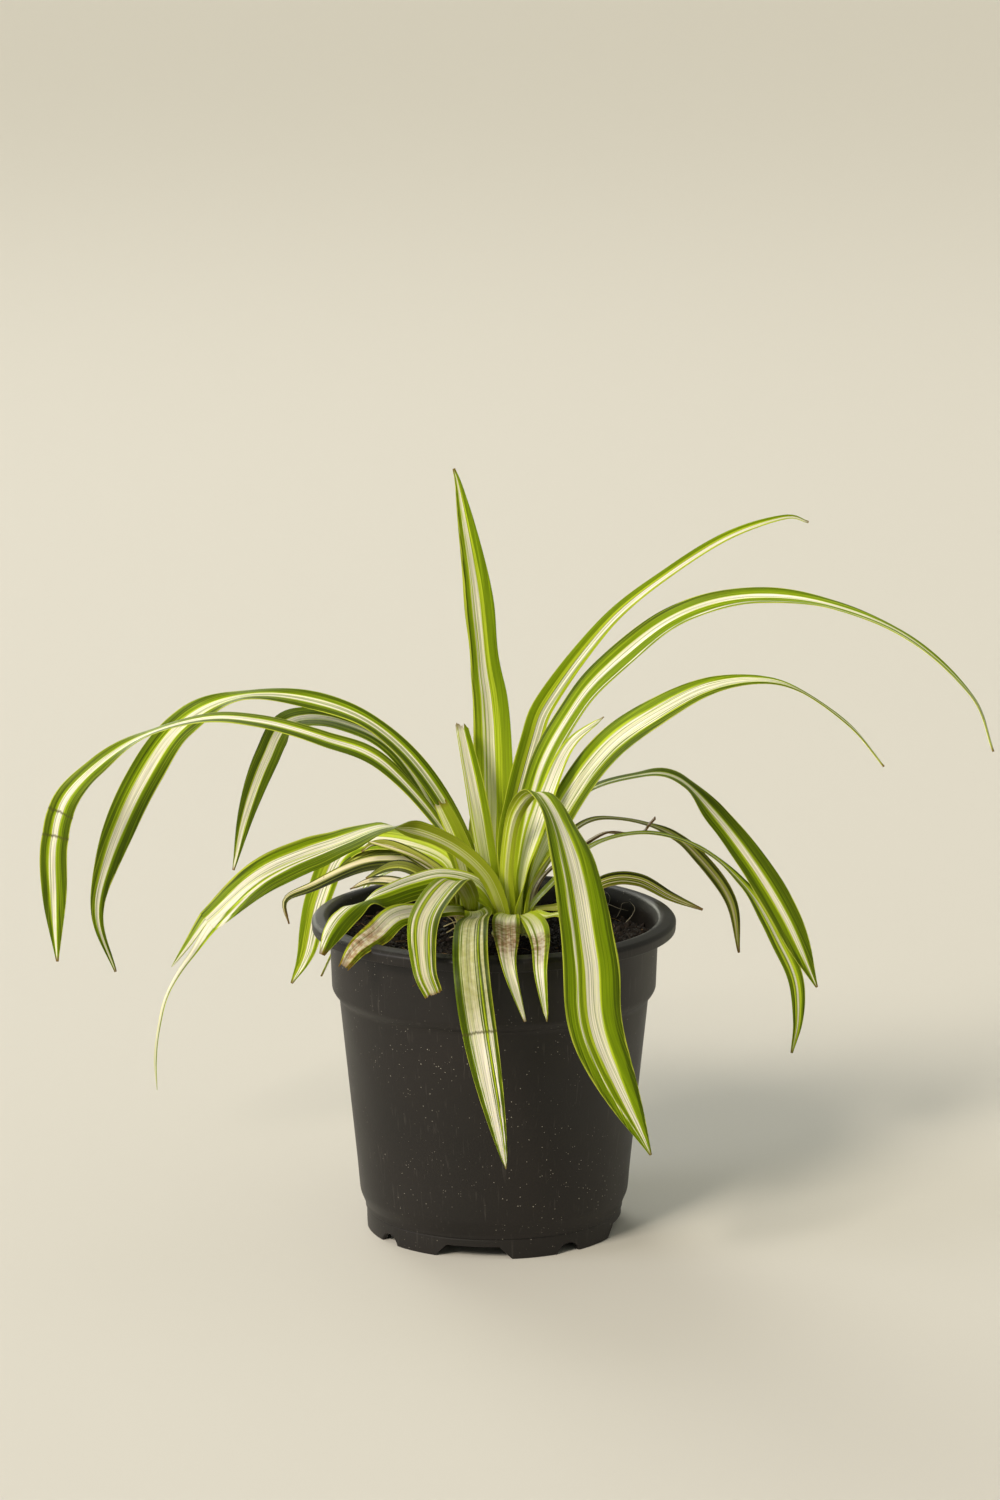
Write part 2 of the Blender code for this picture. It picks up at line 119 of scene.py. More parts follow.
# Puts a finished mesh at the origin, dresses it and ties it to the frame
def newPiece(name, mesh, material, node=None):
    piece = newObject(name, mesh, pieces)
    mesh.materials.clear()
    mesh.materials.append(material)
    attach(piece, "root")
    if node:
        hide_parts(node)


# A long lens a little above the pot, as the photograph was taken
camera = {"lens": 130, "place": (0.002, -1.7379, 0.5338), "pitch": 12.1}


def addCamera():
    data = bpy.data.cameras.new("camera")
    data.lens = camera["lens"]
    tilt = Matrix.Rotation(math.radians(90 - camera["pitch"]), 4, "X")
    scene.camera = newObject("camera", data)
    scene.camera.matrix_world = Matrix.Translation(camera["place"]) @ tilt


addCamera()
print("camera placed")

crowns = {"main": (6.5, 2.0), "left": (-7.4, 4.6)}
crownTop = 100.3

blade = {
    "spacing": 1.5,          # mm between cross sections
    "columns": 24,           # faces across
    "thickness": 0.5,        # mm at the midrib
    "edgeShare": 0.4,        # thickness left at the margins
    "keel": 0.22,            # mm that the midrib stands out below
    "keelWidth": 0.08,       # share of the half width
    "base": 4.6,             # mm wide at the crown
    "opening": 15.0,         # mm over which the base widens
    "baseRise": 6.0,         # mm straight up out of the crown
    "unroll": 34.0,          # mm over which the sheath round the crown flattens
    "soft": 0.022,           # half width of a stripe's border, share of the half width
    "crease": (1.2, 0.4),    # mm long and deep
    "veins": 3.2,            # streaks per mm across
    "stripRows": 28,         # cross sections of each strip at a split end
}

# Each leaf's seat is its crown, the distance from its middle in mm and the bearing. Its path goes on in
# mm, and roll, profile and bands are spread over it: degrees, widths in mm, and each colour's far side,
# from one margin to the other, in hundredths of the half width.
leafDefaults = {
    "roll": "0", "fold": 14, "widest": 0.42, "swell": 1.0, "end": 0.8, "taper": 1.9,
    "shoulder": 0.8,         # width above the base over full width
    "profile": "",           # without one, the width follows from the values above
    "curl": 0.3,             # how far the margins turn back, in radians
    "ripple": 0.35,          # mm of waviness at the margins
    "ragged": 0.0,           # mm of unevenness at a cut end
    "tone": "fresh",
    "slot": None,            # where it isn't the tone's own
    "solid": True,           # whether it takes the place of a node of its name
    "bands": "edge -95 deep -60 green -36 lime -30 cream 30 lime 36 green 60 deep 95 edge 100",
    "stretch": (1, 1, 1, 1), # the bands' scale: first half at base and tip, second half at base and tip
    "squeeze": 0.0,          # how much more the second half's bands close up at mid-length
    "pale": 55,              # mm of pale base
    "brownTip": 2.0,         # mm of dry tip
    "spots": 0.0, "creases": (),
    "stain": None,           # a glaze, a real stain on some leaves and painted shade on others: from and to, as shares of the length, and the least and most of it
    "stainColour": "#93695a",
}

leaves = {
    "tall": dict(seat=("main", 4.3, 132), fold=18, stretch=(0.85, 2.3, 1, 1.15), pale=90,
        roll="0 -40 -35 -40", path="0 13 124, 0 13 142, -1 12 172, -3 11 188, -6 8 217, -11 5 246, -13 4 254",
        profile="4.6 8 11.5 13.2 13 11.8 9.6 10.2 8 5 0.8",
        bands="green -72 lime -34 green -26 lime -14 cream 36 lime 42 cream 50 lime 58 green 84 deep 97 "
              "edge 100"),
    "tall_stub": dict(seat=("main", 5.7, 182), slot="old", pale=60, brownTip=3.0, ragged=3.0,
        roll="0 -60 -72 -72", path="-2 1 122, -6 2 146, -11 4 170", profile="4.4 6.8 7.4 6.2 4",
        bands="edge -93 green -40 lime -25 cream 70 lime 80 cream 93 edge 100"),
    "right_high": dict(seat=("main", 2.8, 138), roll="0 0 -10 -24 -40 -55 -66 -70 -70 -70 -70",
        path="3 5 121, 5 7 136, 12 11 162, 18 14 176, 38 23 200, 58 30 215, 78 38 226, 97 45 231, 105 47 229",
        profile="4.6 7.4 8.2 8 7.2 6 4.8 3.8 3.4 2.8 0.8",
        bands="edge -95 lime -70 cream -12 deep -5 lime 30 green 95 edge 100"),
    "right_long": dict(seat=("main", 2.8, 38), roll="0 15 13 9 18 2 -14 -41 -57 -64 -70",
        path="9 6 124, 15 3 153, 25 1 173, 36 -3 188, 57 -12 207, 79 -21 216, 104 -35 217, 130 -55 210, "
             "149.5 -76 195, 156 -85 179", profile="4.6 8.6 9.2 9.4 8.8 7.6 6.4 5 3.6 2.4 0.8",
        bands="edge -95 green -86 cream -80 green -35 lime -28 cream 20 lime 27 green 70 deep 96 edge 100"),
    "right_short": dict(seat=("main", 2.8, -42), width=7.0, widest=0.4, pale=50, brownTip=2.0,
        roll="0 70 105 108 105", path="11 -4 126, 18 -4 149, 25 -4 164, 36 -3 173",
        bands="edge -93 lime -72 cream 66 lime 92 edge 100"),
    "right_mid": dict(seat=("main", 4.3, 2), roll="0 40 40 10 -10",
        path="14 2 121, 25 -1 145, 38 -7 164, 54 -13 177, 70 -18 186, 86 -22 189, 99 -25 186, 115 -28 175, "
             "126 -29 162", profile="4.6 9.5 12.4 12.8 12.2 10.6 8.2 4.6 1.2 1.5 0.6",
        bands="edge -95 deep -60 lime -52 cream -44 green -36 cream -26 green -22 cream 26 green 30 cream 42 "
              "lime 52 green 84 deep 95 edge 100"),
    "right_twisted": dict(seat=("main", 4.3, 64), roll="0 -15 -34 -46 -46 -19 27 41 46 49 49",
        path="14 12 122, 29 17 142, 49 21 148, 61 25 146, 72.5 28 134.5, 86 30 117, 98 32 97, 109 34 72",
        profile="4.6 5 5 5.6 6.8 8 8.4 9.6 10.4 8.2 0.8",
        bands="edge -96 deep -62 green -34 lime -22 cream 20 lime 27 green 36 deep 96 edge 100"),
    "right_low": dict(seat=("main", 5.7, 20), pale=70, roll="0 7 9 14 25 39 65 96 109 119 125",
        path="20 8 115, 33 14 126, 52 27 127, 71 39 118, 87 49 101, 97 54 83, 103 56 69, 104 56 55, "
             "102 56 43", profile="4.4 4 3.6 3.4 3.4 3.8 4.4 6 6 4.6 0.8",
        bands="edge -95 deep -56 lime -30 green -20 cream 10 lime 50 green 70 deep 95 edge 100"),
    "right_thin": dict(seat=("main", 6.9, 62), tone="old", pale=50, brownTip=5.0,
        spots=0.3, roll="0 -2 -14 -20 -16 -3 38 68 79 89 89",
        path="17 18 118, 29 22 131, 42 31 131, 59 45 123, 71 54 111, 81 61 95, 84 66 76",
        profile="4.4 3.4 3 3 2.8 3 3.6 4.6 4.6 3.4 0.8",
        bands="edge -90 deep -50 lime -30 cream 10 lime 45 deep 90 edge 100"),
    "right_withered": dict(seat=("main", 6.9, 36), pale=16, tone="dry", curl=1.2,
        ripple=0.8, spots=0.8, brownTip=20,
        path="17 14 116, 35 28 126, 44 33 125.5, 50 35 125.5, 52 35 128, 54 34 130.5",
        profile="3.8 3 2.6 2.6 3 4.2 4.6 2.4"),
    "right_rim": dict(seat=("main", 6.9, 6), pale=28, tone="old", brownTip=6.0, spots=0.5,
        roll="0 15 28 37 45 59 71 86 95 102 101", path="23 6 107, 37 12 114, 48 18 113, 59 24 106, 70 30 100",
        profile="4.4 4.6 4.8 5 4.6 3 0.8",
        bands="edge -90 green -60 cream -46 deep -30 lime -10 deep 5 cream 25 green 40 lime 50 dark 100"),
    "front_broad": dict(seat=("main", 2.8, -122), roll="0 10 20 50 32 45 51 59 60 60 60",
        path="4 -6 122, 7 -14 143, 15 -26 152, 24 -50 138, 30 -70 109, 33 -76 84, 50 -78 46",
        profile="4.6 5 5 8.4 15.4 18.2 19.4 19.8 17.4 11 0.8",
        bands="edge -97 deep -84 green -58 lime -54 cream -50 lime -46 green -30 lime -18 cream 30 lime 37 "
              "green 74 deep 97 edge 100"),
    # its glaze over the upper part is painted shade, dulling the blade where it bends down
    "front_creased": dict(seat=("left", 4.7, -76), pale=40, width=11.8, widest=0.6, slot="old",
        shoulder=0.6, stain=(0.24, 0.64, 0.7, 0.9), stainColour="#b4b67f", creases=(0.68,), spots=0.25,
        path="-5 -20 110, -7 -52 114, -7 -70 105, -4 -75 83, 4 -70 39",
        bands="edge -97 deep -70 green -62 cream -56 green -50 cream 20 deep 27 cream 36 deep 44 lime 52 "
              "deep 60 cream 74 deep 96 edge 100"),
    "front_stained": dict(seat=("main", 6.9, -100), pale=30, slot="old",
        stain=(0.36, 0.72, 0.55, 1.0), stainColour="#94725e", spots=0.4,
        path="4 -22 109, 4 -50 110, 5 -67 104, 10 -67 87", profile="4.4 6.4 8.6 9.2 8.8 8 5.6 3.2 0.8",
        bands="edge -93 green -78 cream 75 green 93 edge 100"),
    "front_narrow": dict(seat=("main", 6.9, -66), width=7.6, swell=1.6, stain=(0.56, 0.74, 0.3, 0.9),
        stainColour="#a88a70", path="13 -24 109, 15 -54 110, 15 -68 103, 17 -67 87",
        bands="edge -93 green -72 cream -45 green -30 cream 50 lime 60 green 93 edge 100"),
    "front_stub": dict(seat=("main", 6.9, -34), width=4.6, path="17 -9 107, 22 -18 110, 27 -27 109"),
    # its glaze over the whole length is painted shade that dims the hanging leaf
    "front_cut": dict(seat=("left", 3.3, -100), pale=40, stain=(-0.1, 1.2, 1.0, 1.0),
        stainColour="#dedccc", ragged=1.2, brownTip=1.2, profile="4.4 7 10 11.6 11 9 6",
        path="-9 -12 115, -13.5 -27 123, -22 -53 117, -22 -69 105, -19 -72 97",
        bands="edge -95 green -70 cream -58 green -50 lime -38 green -32 cream 16 green 22 cream 34 green 42 "
              "lime 50 green 56 cream 66 deep 94 edge 100"),
    "front_twisted": dict(seat=("main", 6.9, -155), pale=30, fold=-12, brownTip=3,
        roll="0 -40 -70 -56 -48 -44 -40 14 -24 -44 -44",
        path="-6 -5 116, -16 -10 120, -26 -15 119, -36 -22 117, -43 -29 116.5, -48.5 -37 113.6, "
             "-52.5 -40 108.5, -55.5 -41.5 102.5", profile="4.4 6 7.4 8.8 9.6 9.4 8.4 6.4 7.6 7 2",
        bands="edge -95 lime -86 cream -50 green -43 cream -20 lime -12 green 10 deep 95 edge 100"),
    # its lower half is the green margin in the deep tone: real green, darkened as painted shade
    "front_brown": dict(seat=("left", 4.7, -124), pale=24, slot="old", stain=(0.7, 1.1, 0.2, 0.9),
        stainColour="#c09c86", spots=0.6, brownTip=5, ragged=1.5,
        roll="0 -60 -58 -66 -66 -55 -48 -43 -32 -22 -22",
        path="-18 -13 110, -31 -28 112, -38 -37 108, -44 -45 105, -48.5 -51 100",
        profile="4.2 3.8 4.2 5.6 7.8 9 7.4 3.4", bands="edge -90 lime -78 cream 36 lime 44 deep 95 edge 100"),
    "left_split": dict(seat=("main", 5.7, -130), fold=10, stretch=(1, 1.1, 0.8, 0.3), squeeze=1.6,
        brownTip=0.0, roll="0 24 34 38 38 -30 -45 -62 -68 -70 -70",
        path="-3 -10 122, -16 -15 134, -33 -21 140, -50 -28 136, -74 -38 128, -92 -44 114",
        profile="4.6 5.8 6.2 6.6 7.6 10 12.6 13.2 12.8 10.8 8",
        bands="edge -96 deep -80 green -54 lime -46 cream -6 lime -2 cream 22 green 28 lime 34 cream 48 "
              "green 62 deep 100"),
    "left_far": dict(seat=("left", 3.3, -178), creases=(0.785, 0.82),
        roll="0 -14 -26 -41 -37 -28 -20 -60 -98 -109 -109",
        path="-14 3 128, -36 8 154, -56 12 162, -78 17 167, -98 22 166.5, -121 25 158, -141 29 140.5, "
             "-147 30 124, -147.5 30 104, -147 30 82", profile="4.4 7 7.6 7.6 7.4 7.4 7.6 8.4 9.4 8.6 0.8",
        bands="edge -96 deep -52 green -42 lime -34 cream 14 lime 22 green 40 deep 96 edge 100"),
    "left_high": dict(seat=("left", 1.8, 150), roll="0 -10 -14 -10 -33 -8 -60 -88 -96 -101 -104",
        path="-10 9 127, -24 14 151, -42 22 166, -64 31 172, -86 37 171, -105 44 160, -120 50 138, "
             "-131 53 112, -135 53 92, -129 51 73", profile="4.4 7.6 8.4 8.4 7.6 7.6 10.6 11.8 10.6 5 0.8",
        bands="edge -96 deep -55 green -38 lime -30 cream 28 lime 34 green 50 deep 96 edge 100"),
    "left_back": dict(seat=("left", 3.3, 112), stretch=(2.4, 0.8, 2.0, 0.8),
        roll="0 5 12 18 12 4 -8 -70 -78 -82 -82",
        path="-13 17 123, -32 25 154, -52 37 163, -69 50 160, -77 58 146, -84 61 127, -89 62 106",
        profile="4.4 7 7.6 7.4 7.2 7.6 8.6 9.4 8.4 5.2 0.8",
        bands="deep -45 lime -36 cream 32 lime 40 deep 100"),
    "left_stub": dict(seat=("left", 1.8, -60), width=7.0, end=4.6, ragged=1.6, brownTip=3.0, pale=20,
        roll="0 -40", path="-9 0 122, -13 -2 134, -18 -4 145",
        bands="edge -93 lime -80 cream -10 lime 0 green 93 edge 100"),
    "cluster_hanging": dict(seat=("left", 4.7, 116), roll="0 -30 -80 -90",
        path="-16 20 120, -36 28 125, -51 37 119, -59.5 45 100, -64 50 80, -69 51 69",
        profile="4.4 7 8 8.6 9 9.4 9 7 0.8",
        bands="edge -95 green -60 lime -45 green -40 lime -10 cream 30 green 36 cream 60 lime 70 green 93 "
              "edge 100"),
    "cluster_curled": dict(seat=("left", 4.7, 156), pale=24, width=6.0, tone="old",
        brownTip=7, spots=0.2, roll="0 -50 -62 -55",
        path="-22 12 118, -41 21 118, -61 29 108, -70 31 103, -69 30 95",
        bands="dark -86 lime -76 cream -20 green -10 dark 100"),
    "cluster_spotted": dict(seat=("left", 4.7, -160), pale=18, width=5.0, swell=2.0, tone="old",
        spots=0.9, brownTip=4, roll="0 -50",
        path="-17 0 108, -30 7 114, -40 13 114, -48 18 110", bands="dark -70 cream 45 deep 92 edge 100"),
    "cluster_dry": dict(seat=("left", 4.7, 176), pale=24, width=2.6, tone="old", slot="dry",
        roll="0 -40", path="-14 6 114, -26 8 123, -43 12 128", bands="deep -70 cream 40 lime 80 deep 100"),
    "cluster_pale": dict(seat=("left", 4.7, 140), pale=26, solid=False, tone="old",
        roll="0 -30 -60 -70", path="-15.5 6 116, -23 9 121.5, -33 12 126.3, -40 14 126.6, -44 15 123.5",
        profile="4 3.6 4 4.4 4 2.6 0.8", bands="deep -80 lime 30 cream 70 deep 92 edge 100"),
    "cluster_dark": dict(seat=("left", 4.7, 128), pale=18, solid=False, tone="old",
        roll="0 -30 -60 -70",
        path="-15.6 14 112.6, -22.7 22 119, -33.1 28 121.8, -42.2 32 119.1, -50.7 34 113.5, -55 34 108.5",
        profile="4 4.2 4.8 5.2 4.8 3.4 0.8", bands="dark -80 green -30 lime 10 green 85 dark 100"),
    "cluster_olive": dict(seat=("left", 4.7, 168), pale=18, solid=False, tone="old",
        spots=0.4, roll="0 -40 -60 -60", path="-18 6 113, -27 9 119, -34.5 11 119.3, -42.5 12 115",
        profile="3.6 3.8 4.4 3.8 0.8", bands="dark -80 green 20 lime 50 deep 95 dark 100"),
    "rear_1": dict(seat=("main", 6.9, 94), width=8.0, path="8 26 113, 15 52 118, 26 78 98, 34 88 56"),
    "rear_2": dict(seat=("main", 5.7, 116), width=9.0, stretch=(1, 1.2, 0.8, 1),
        path="1 25 126, -2 54 133, -6 86 108, -10 98 60"),
    "rear_3": dict(seat=("main", 6.9, 132), width=7.0, stretch=(0.8, 1, 1.1, 1),
        path="-3 20 111, -12 46 115, -24 70 94, -34 77 62"),
    "rear_4": dict(seat=("left", 4.7, 62), width=7.0, brownTip=4,
        path="-8 26 109, -24 50 112, -44 70 98, -60 80 64"),
}

# The split leaf's end: each half goes on as a strip between two edges, upper edge first
splitTips = (
    ("-99.8 -45 107.3, -103.9 -47 99.8",
     "-97.8 -46 106.6, -103.7 -47 99.8"),
    ("-98.1 -46 104.2, -102.6 -48 97.4, -106.4 -49 89.4, -108.5 -50 79.7, -109.6 -51 69.9, -108.8 -51 59.9",
     "-95.6 -46 104.2, -100.4 -48 98.4, -104.9 -49 90.4, -107.6 -50 79.7, -108.7 -51 69.9, -108.6 -51 59.9"),
)

# each tone's under colour is the underside's own duller colour, lightened as painted glow of light shining
# through the blade
tones = {
    "fresh": {"dark": "#384209", "deep": "#4a5c05", "green": "#728a07", "lime": "#b0c22a",
              "cream": "#ebe7d4", "edge": "#b0b840", "base": "#bccb30", "under": "#c2ca3e"},
    "old": {"dark": "#232a0a", "deep": "#414a0c", "green": "#6b7216", "lime": "#a8ac4c",
            "cream": "#d6cdaa", "edge": "#8d8440", "base": "#b4b83c", "under": "#b2b43a"},
    "dry": {"dark": "#35240f", "deep": "#4f3a1c", "green": "#7d6535", "lime": "#a38b55",
            "cream": "#c9bb92", "edge": "#8a6c3d", "base": "#b5a878", "under": "#94805a"},
}


def wander(*place):
    return noise.noise(Vector(place))


def catmullRom(p0, p1, p2, p3, t):
    return 0.5 * (2 * p1 + (p2 - p0) * t + (2 * p0 - 5 * p1 + 4 * p2 - p3) * t ** 2
                  + (3 * p1 - p0 - 3 * p2 + p3) * t ** 3)


# Points at even distances along a smooth curve through the given ones, and their distances
def smoothPath(points, spacing):
    points = [Vector(p) for p in points]
    ends = [2 * points[0] - points[1]] + points + [2 * points[-1] - points[-2]]
    dense = [catmullRom(*four, step / 24) for four in zip(ends, ends[1:], ends[2:], ends[3:])
             for step in range(24)]
    dense = np.array(dense + [points[-1]])
    lengths = np.concatenate([[0], np.cumsum(np.linalg.norm(np.diff(dense, axis=0), axis=1))])
    places = np.linspace(0, lengths[-1], max(4, round(lengths[-1] / spacing)) + 1)
    return np.stack([np.interp(places, lengths, dense[:, axis]) for axis in range(3)], axis=1), places


def smoothStep(value):
    value = min(max(value, 0.0), 1.0)
    return value * value * (3 - 2 * value)


# A value from a short list spread evenly over the length
def atStation(values, share):
    if len(values) == 1:
        return values[0]
    place = share * (len(values) - 1)
    index = min(int(place), len(values) - 2)
    ease = smoothStep(place - index)
    return values[index] * (1 - ease) + values[index + 1] * ease


# A width on the smooth curve through a list spread evenly over the length, never under 0.4 mm
def smoothValue(values, share):
    values = (2 * values[0] - values[1], *values, 2 * values[-1] - values[-2])
    place = share * (len(values) - 3)
    index = min(int(place), len(values) - 4)
    return max(0.4, catmullRom(*values[index:index + 4], place - index))


def bladeWidth(leaf, distance, length):
    share = distance / length
    if leaf.profile:
        return smoothValue(leaf.profile, share)
    if share < leaf.widest:
        rise = math.sin(0.5 * math.pi * share / leaf.widest)
        full = leaf.shoulder + (1 - leaf.shoulder) * rise ** leaf.swell
    else:
        fall = (share - leaf.widest) / (1 - leaf.widest)
        least = leaf.end / leaf.width
        full = least + (1 - least) * (1 - fall ** leaf.taper)
    base = min(blade["base"], 0.6 * leaf.width)
    opened = smoothStep(distance / min(blade["opening"], 0.3 * length))
    width = base + (leaf.width * full - base) * opened
    if leaf.end < 2:      # a pointed tip closes over its last few millimetres
        width *= min(1.0, 0.25 + (length - distance) / 4)
    return width


# The middle surface of a blade: points, place across and distance along, row by row
def leafGrid(leaf, seed):
    crown, radius, bearing = leaf.seat
    bearing = math.radians(bearing)
    outwards = Vector((math.cos(bearing), math.sin(bearing), 0))
    start = Vector((*crowns[crown], crownTop)) + outwards * radius
    tangent = Vector((0, 0, 1))
    side = tangent.cross(outwards)
    centre, places = smoothPath([start, start + tangent * blade["baseRise"], *leaf.path], blade["spacing"])
    last, length = len(centre) - 1, places[-1]
    across, upper, half, flat = [], [], [], []
    for index in range(last + 1):
        share = index / last
        if index:
            ahead = Vector(centre[min(index + 1, last)] - centre[index - 1]).normalized()
            side = tangent.rotation_difference(ahead) @ side
            tangent = ahead
        turn = Matrix.Rotation(math.radians(atStation(leaf.roll, share)), 3, tangent)
        across.append(turn @ side)
        upper.append(tangent.cross(across[-1]))
        half.append(bladeWidth(leaf, places[index], length) / 2)
        flat.append(smoothStep(places[index] / min(blade["unroll"], 0.45 * length)))
    u = np.linspace(-1, 1, blade["columns"] + 1)
    uneven = np.array([wander(seed * 7.3, x * 3.1, 0.5) + 0.6 * wander(seed, x * 9, 3) for x in u])
    rows = np.repeat(places[:, None], len(u), axis=1)
    shares = rows / length
    rows = rows - leaf.ragged * np.clip(0.5 + uneven, 0, 1)[None, :] * shares ** 12

    def at(values):
        return np.stack([np.interp(rows, places, np.array(values)[:, axis]) for axis in range(3)], axis=2)

    halfAt, flatAt = np.interp(rows, places, half), np.interp(rows, places, flat)
    # each section is bent round the crown at its base, and opens to a shallow V with margins turned back
    slope = (1 - flatAt) / radius * halfAt * u + flatAt * (
        math.radians(leaf.fold) * np.tanh(u / 0.12) - leaf.curl * u ** 3)
    middle = (slope[:, 1:] + slope[:, :-1]) / 2
    sums = [np.concatenate([np.zeros((last + 1, 1)), np.cumsum(part * np.diff(u)[None, :], axis=1)], axis=1)
            for part in (np.cos(middle), np.sin(middle))]
    reach, lift = (part - part[:, [blade["columns"] // 2]] for part in sums)
    wave = np.array([[wander(s * 0.045, math.copysign(4.0, x) + seed, 1.7) * abs(x) ** 3 for x in u]
                     for s in places])
    wave *= leaf.ripple * np.clip(shares * 3, 0, 1)
    grid = at(centre) + at(across) * (reach * halfAt)[..., None]
    grid += at(upper) * (lift * halfAt + wave)[..., None]
    width, depth = blade["crease"]
    for crease in leaf.creases:
        grid -= at(upper) * (np.exp(-((shares - crease) * length / width) ** 2) * depth)[..., None]
    return grid, np.repeat(u[None, :], len(rows), axis=0), rows


# A narrow strip that goes on from part of a blade's last row, between two edges
def stripGrid(grid, columns, paths, whole):
    edges = []
    for column, path in zip((columns[0], columns[-1]), paths):
        before, start = grid[-4, column], grid[-1, column]
        points, places = smoothPath([before, start, *numbers(path)], 0.2)
        points = points[places > np.linalg.norm(start - before)]
        edges.append(points[np.linspace(0, len(points) - 1, blade["stripRows"]).round().astype(int)])
    t = np.linspace(0, 1, len(columns))[None, :, None]
    rows = np.concatenate([grid[-1:, columns], edges[0][:, None] * (1 - t) + edges[1][:, None] * t])
    along = np.linalg.norm(np.diff(rows.mean(axis=1), axis=0), axis=1).cumsum()
    return rows, whole + np.concatenate([[0], along])


# A thin closed blade on each grid, with its place across and along kept for the material
def bladeMesh(name, parts, length):
    verts, faces, across, along, acrossMm, under = [], [], [], [], [], []
    for grid, u, s in parts:
        normal = np.cross(np.gradient(grid, axis=0), np.gradient(grid, axis=1))
        normal /= np.linalg.norm(normal, axis=2, keepdims=True) + 1e-12
        thick = 0.5 * blade["thickness"] * (1 - (1 - blade["edgeShare"]) * u ** 2)
        keel = blade["keel"] * np.exp(-(u / blade["keelWidth"]) ** 2)
        top = grid + normal * thick[..., None]
        bottom = grid - normal * (thick + keel)[..., None]
        rows, columns = u.shape
        first = len(verts)
        low = first + rows * columns
        verts += [tuple(p) for p in np.concatenate([top.reshape(-1, 3), bottom.reshape(-1, 3)]) * mm]
        middle = np.linalg.norm(np.diff(grid, axis=1), axis=2).sum(axis=1)[:, None] / 2
        across += list(u.ravel()) * 2
        along += list(s.ravel()) * 2
        acrossMm += list((u * middle).ravel()) * 2
        under += [0.0] * u.size + [1.0] * u.size

        def margin(a, b, flip):
            quad = (first + a, low + a, low + b, first + b)
            faces.append(quad[::-1] if flip else quad)

        for i in range(rows - 1):
            for a in range(i * columns, i * columns + columns - 1):
                b = a + columns
                faces.append((first + a, first + b, first + b + 1, first + a + 1))
                faces.append((low + a, low + a + 1, low + b + 1, low + b))
            margin(i * columns, (i + 1) * columns, False)
            margin(i * columns + columns - 1, (i + 1) * columns + columns - 1, True)
        for i, flip in ((0, True), (rows - 1, False)):
            for a in range(i * columns, i * columns + columns - 1):
                margin(a, a + 1, flip)
    mesh = bpy.data.meshes.new(name)
    mesh.from_pydata(verts, [], faces)
    loops = np.empty(len(mesh.loops), int)
    mesh.loops.foreach_get("vertex_index", loops)
    across, along, acrossMm = (np.array(values) for values in (across, along, acrossMm))
    for layer, x, y in (("blade", across / 2 + 0.5, along / length), ("millimetres", acrossMm, along)):
        uv = mesh.uv_layers.new(name=layer)
        uv.data.foreach_set("uv", np.stack([x[loops], y[loops]], axis=1).ravel())
    mesh.attributes.new("under", "FLOAT", "POINT").data.foreach_set("value", under)
    mesh.shade_smooth()
    mesh.set_sharp_from_angle(angle=math.radians(50))
    return mesh


# Ramp stops across the blade from its bands, each border a little soft
def stripeStops(leaf):
    words = leaf.bands.split()
    bands = [(int(end) / 100, tones[leaf.tone][name]) for name, end in zip(words[::2], words[1::2])]
    stops, before = [], -1
    for (end, colour), (following, _) in zip(bands, bands[1:] + [(1.2, "")]):
        soft = min(blade["soft"], 0.4 * (following - end))
        stops += [(before, colour), (min(end - soft, 1), colour)]
        before = end + soft
    return [((min(place, 1) + 1) / 2, colour) for place, colour in stops]


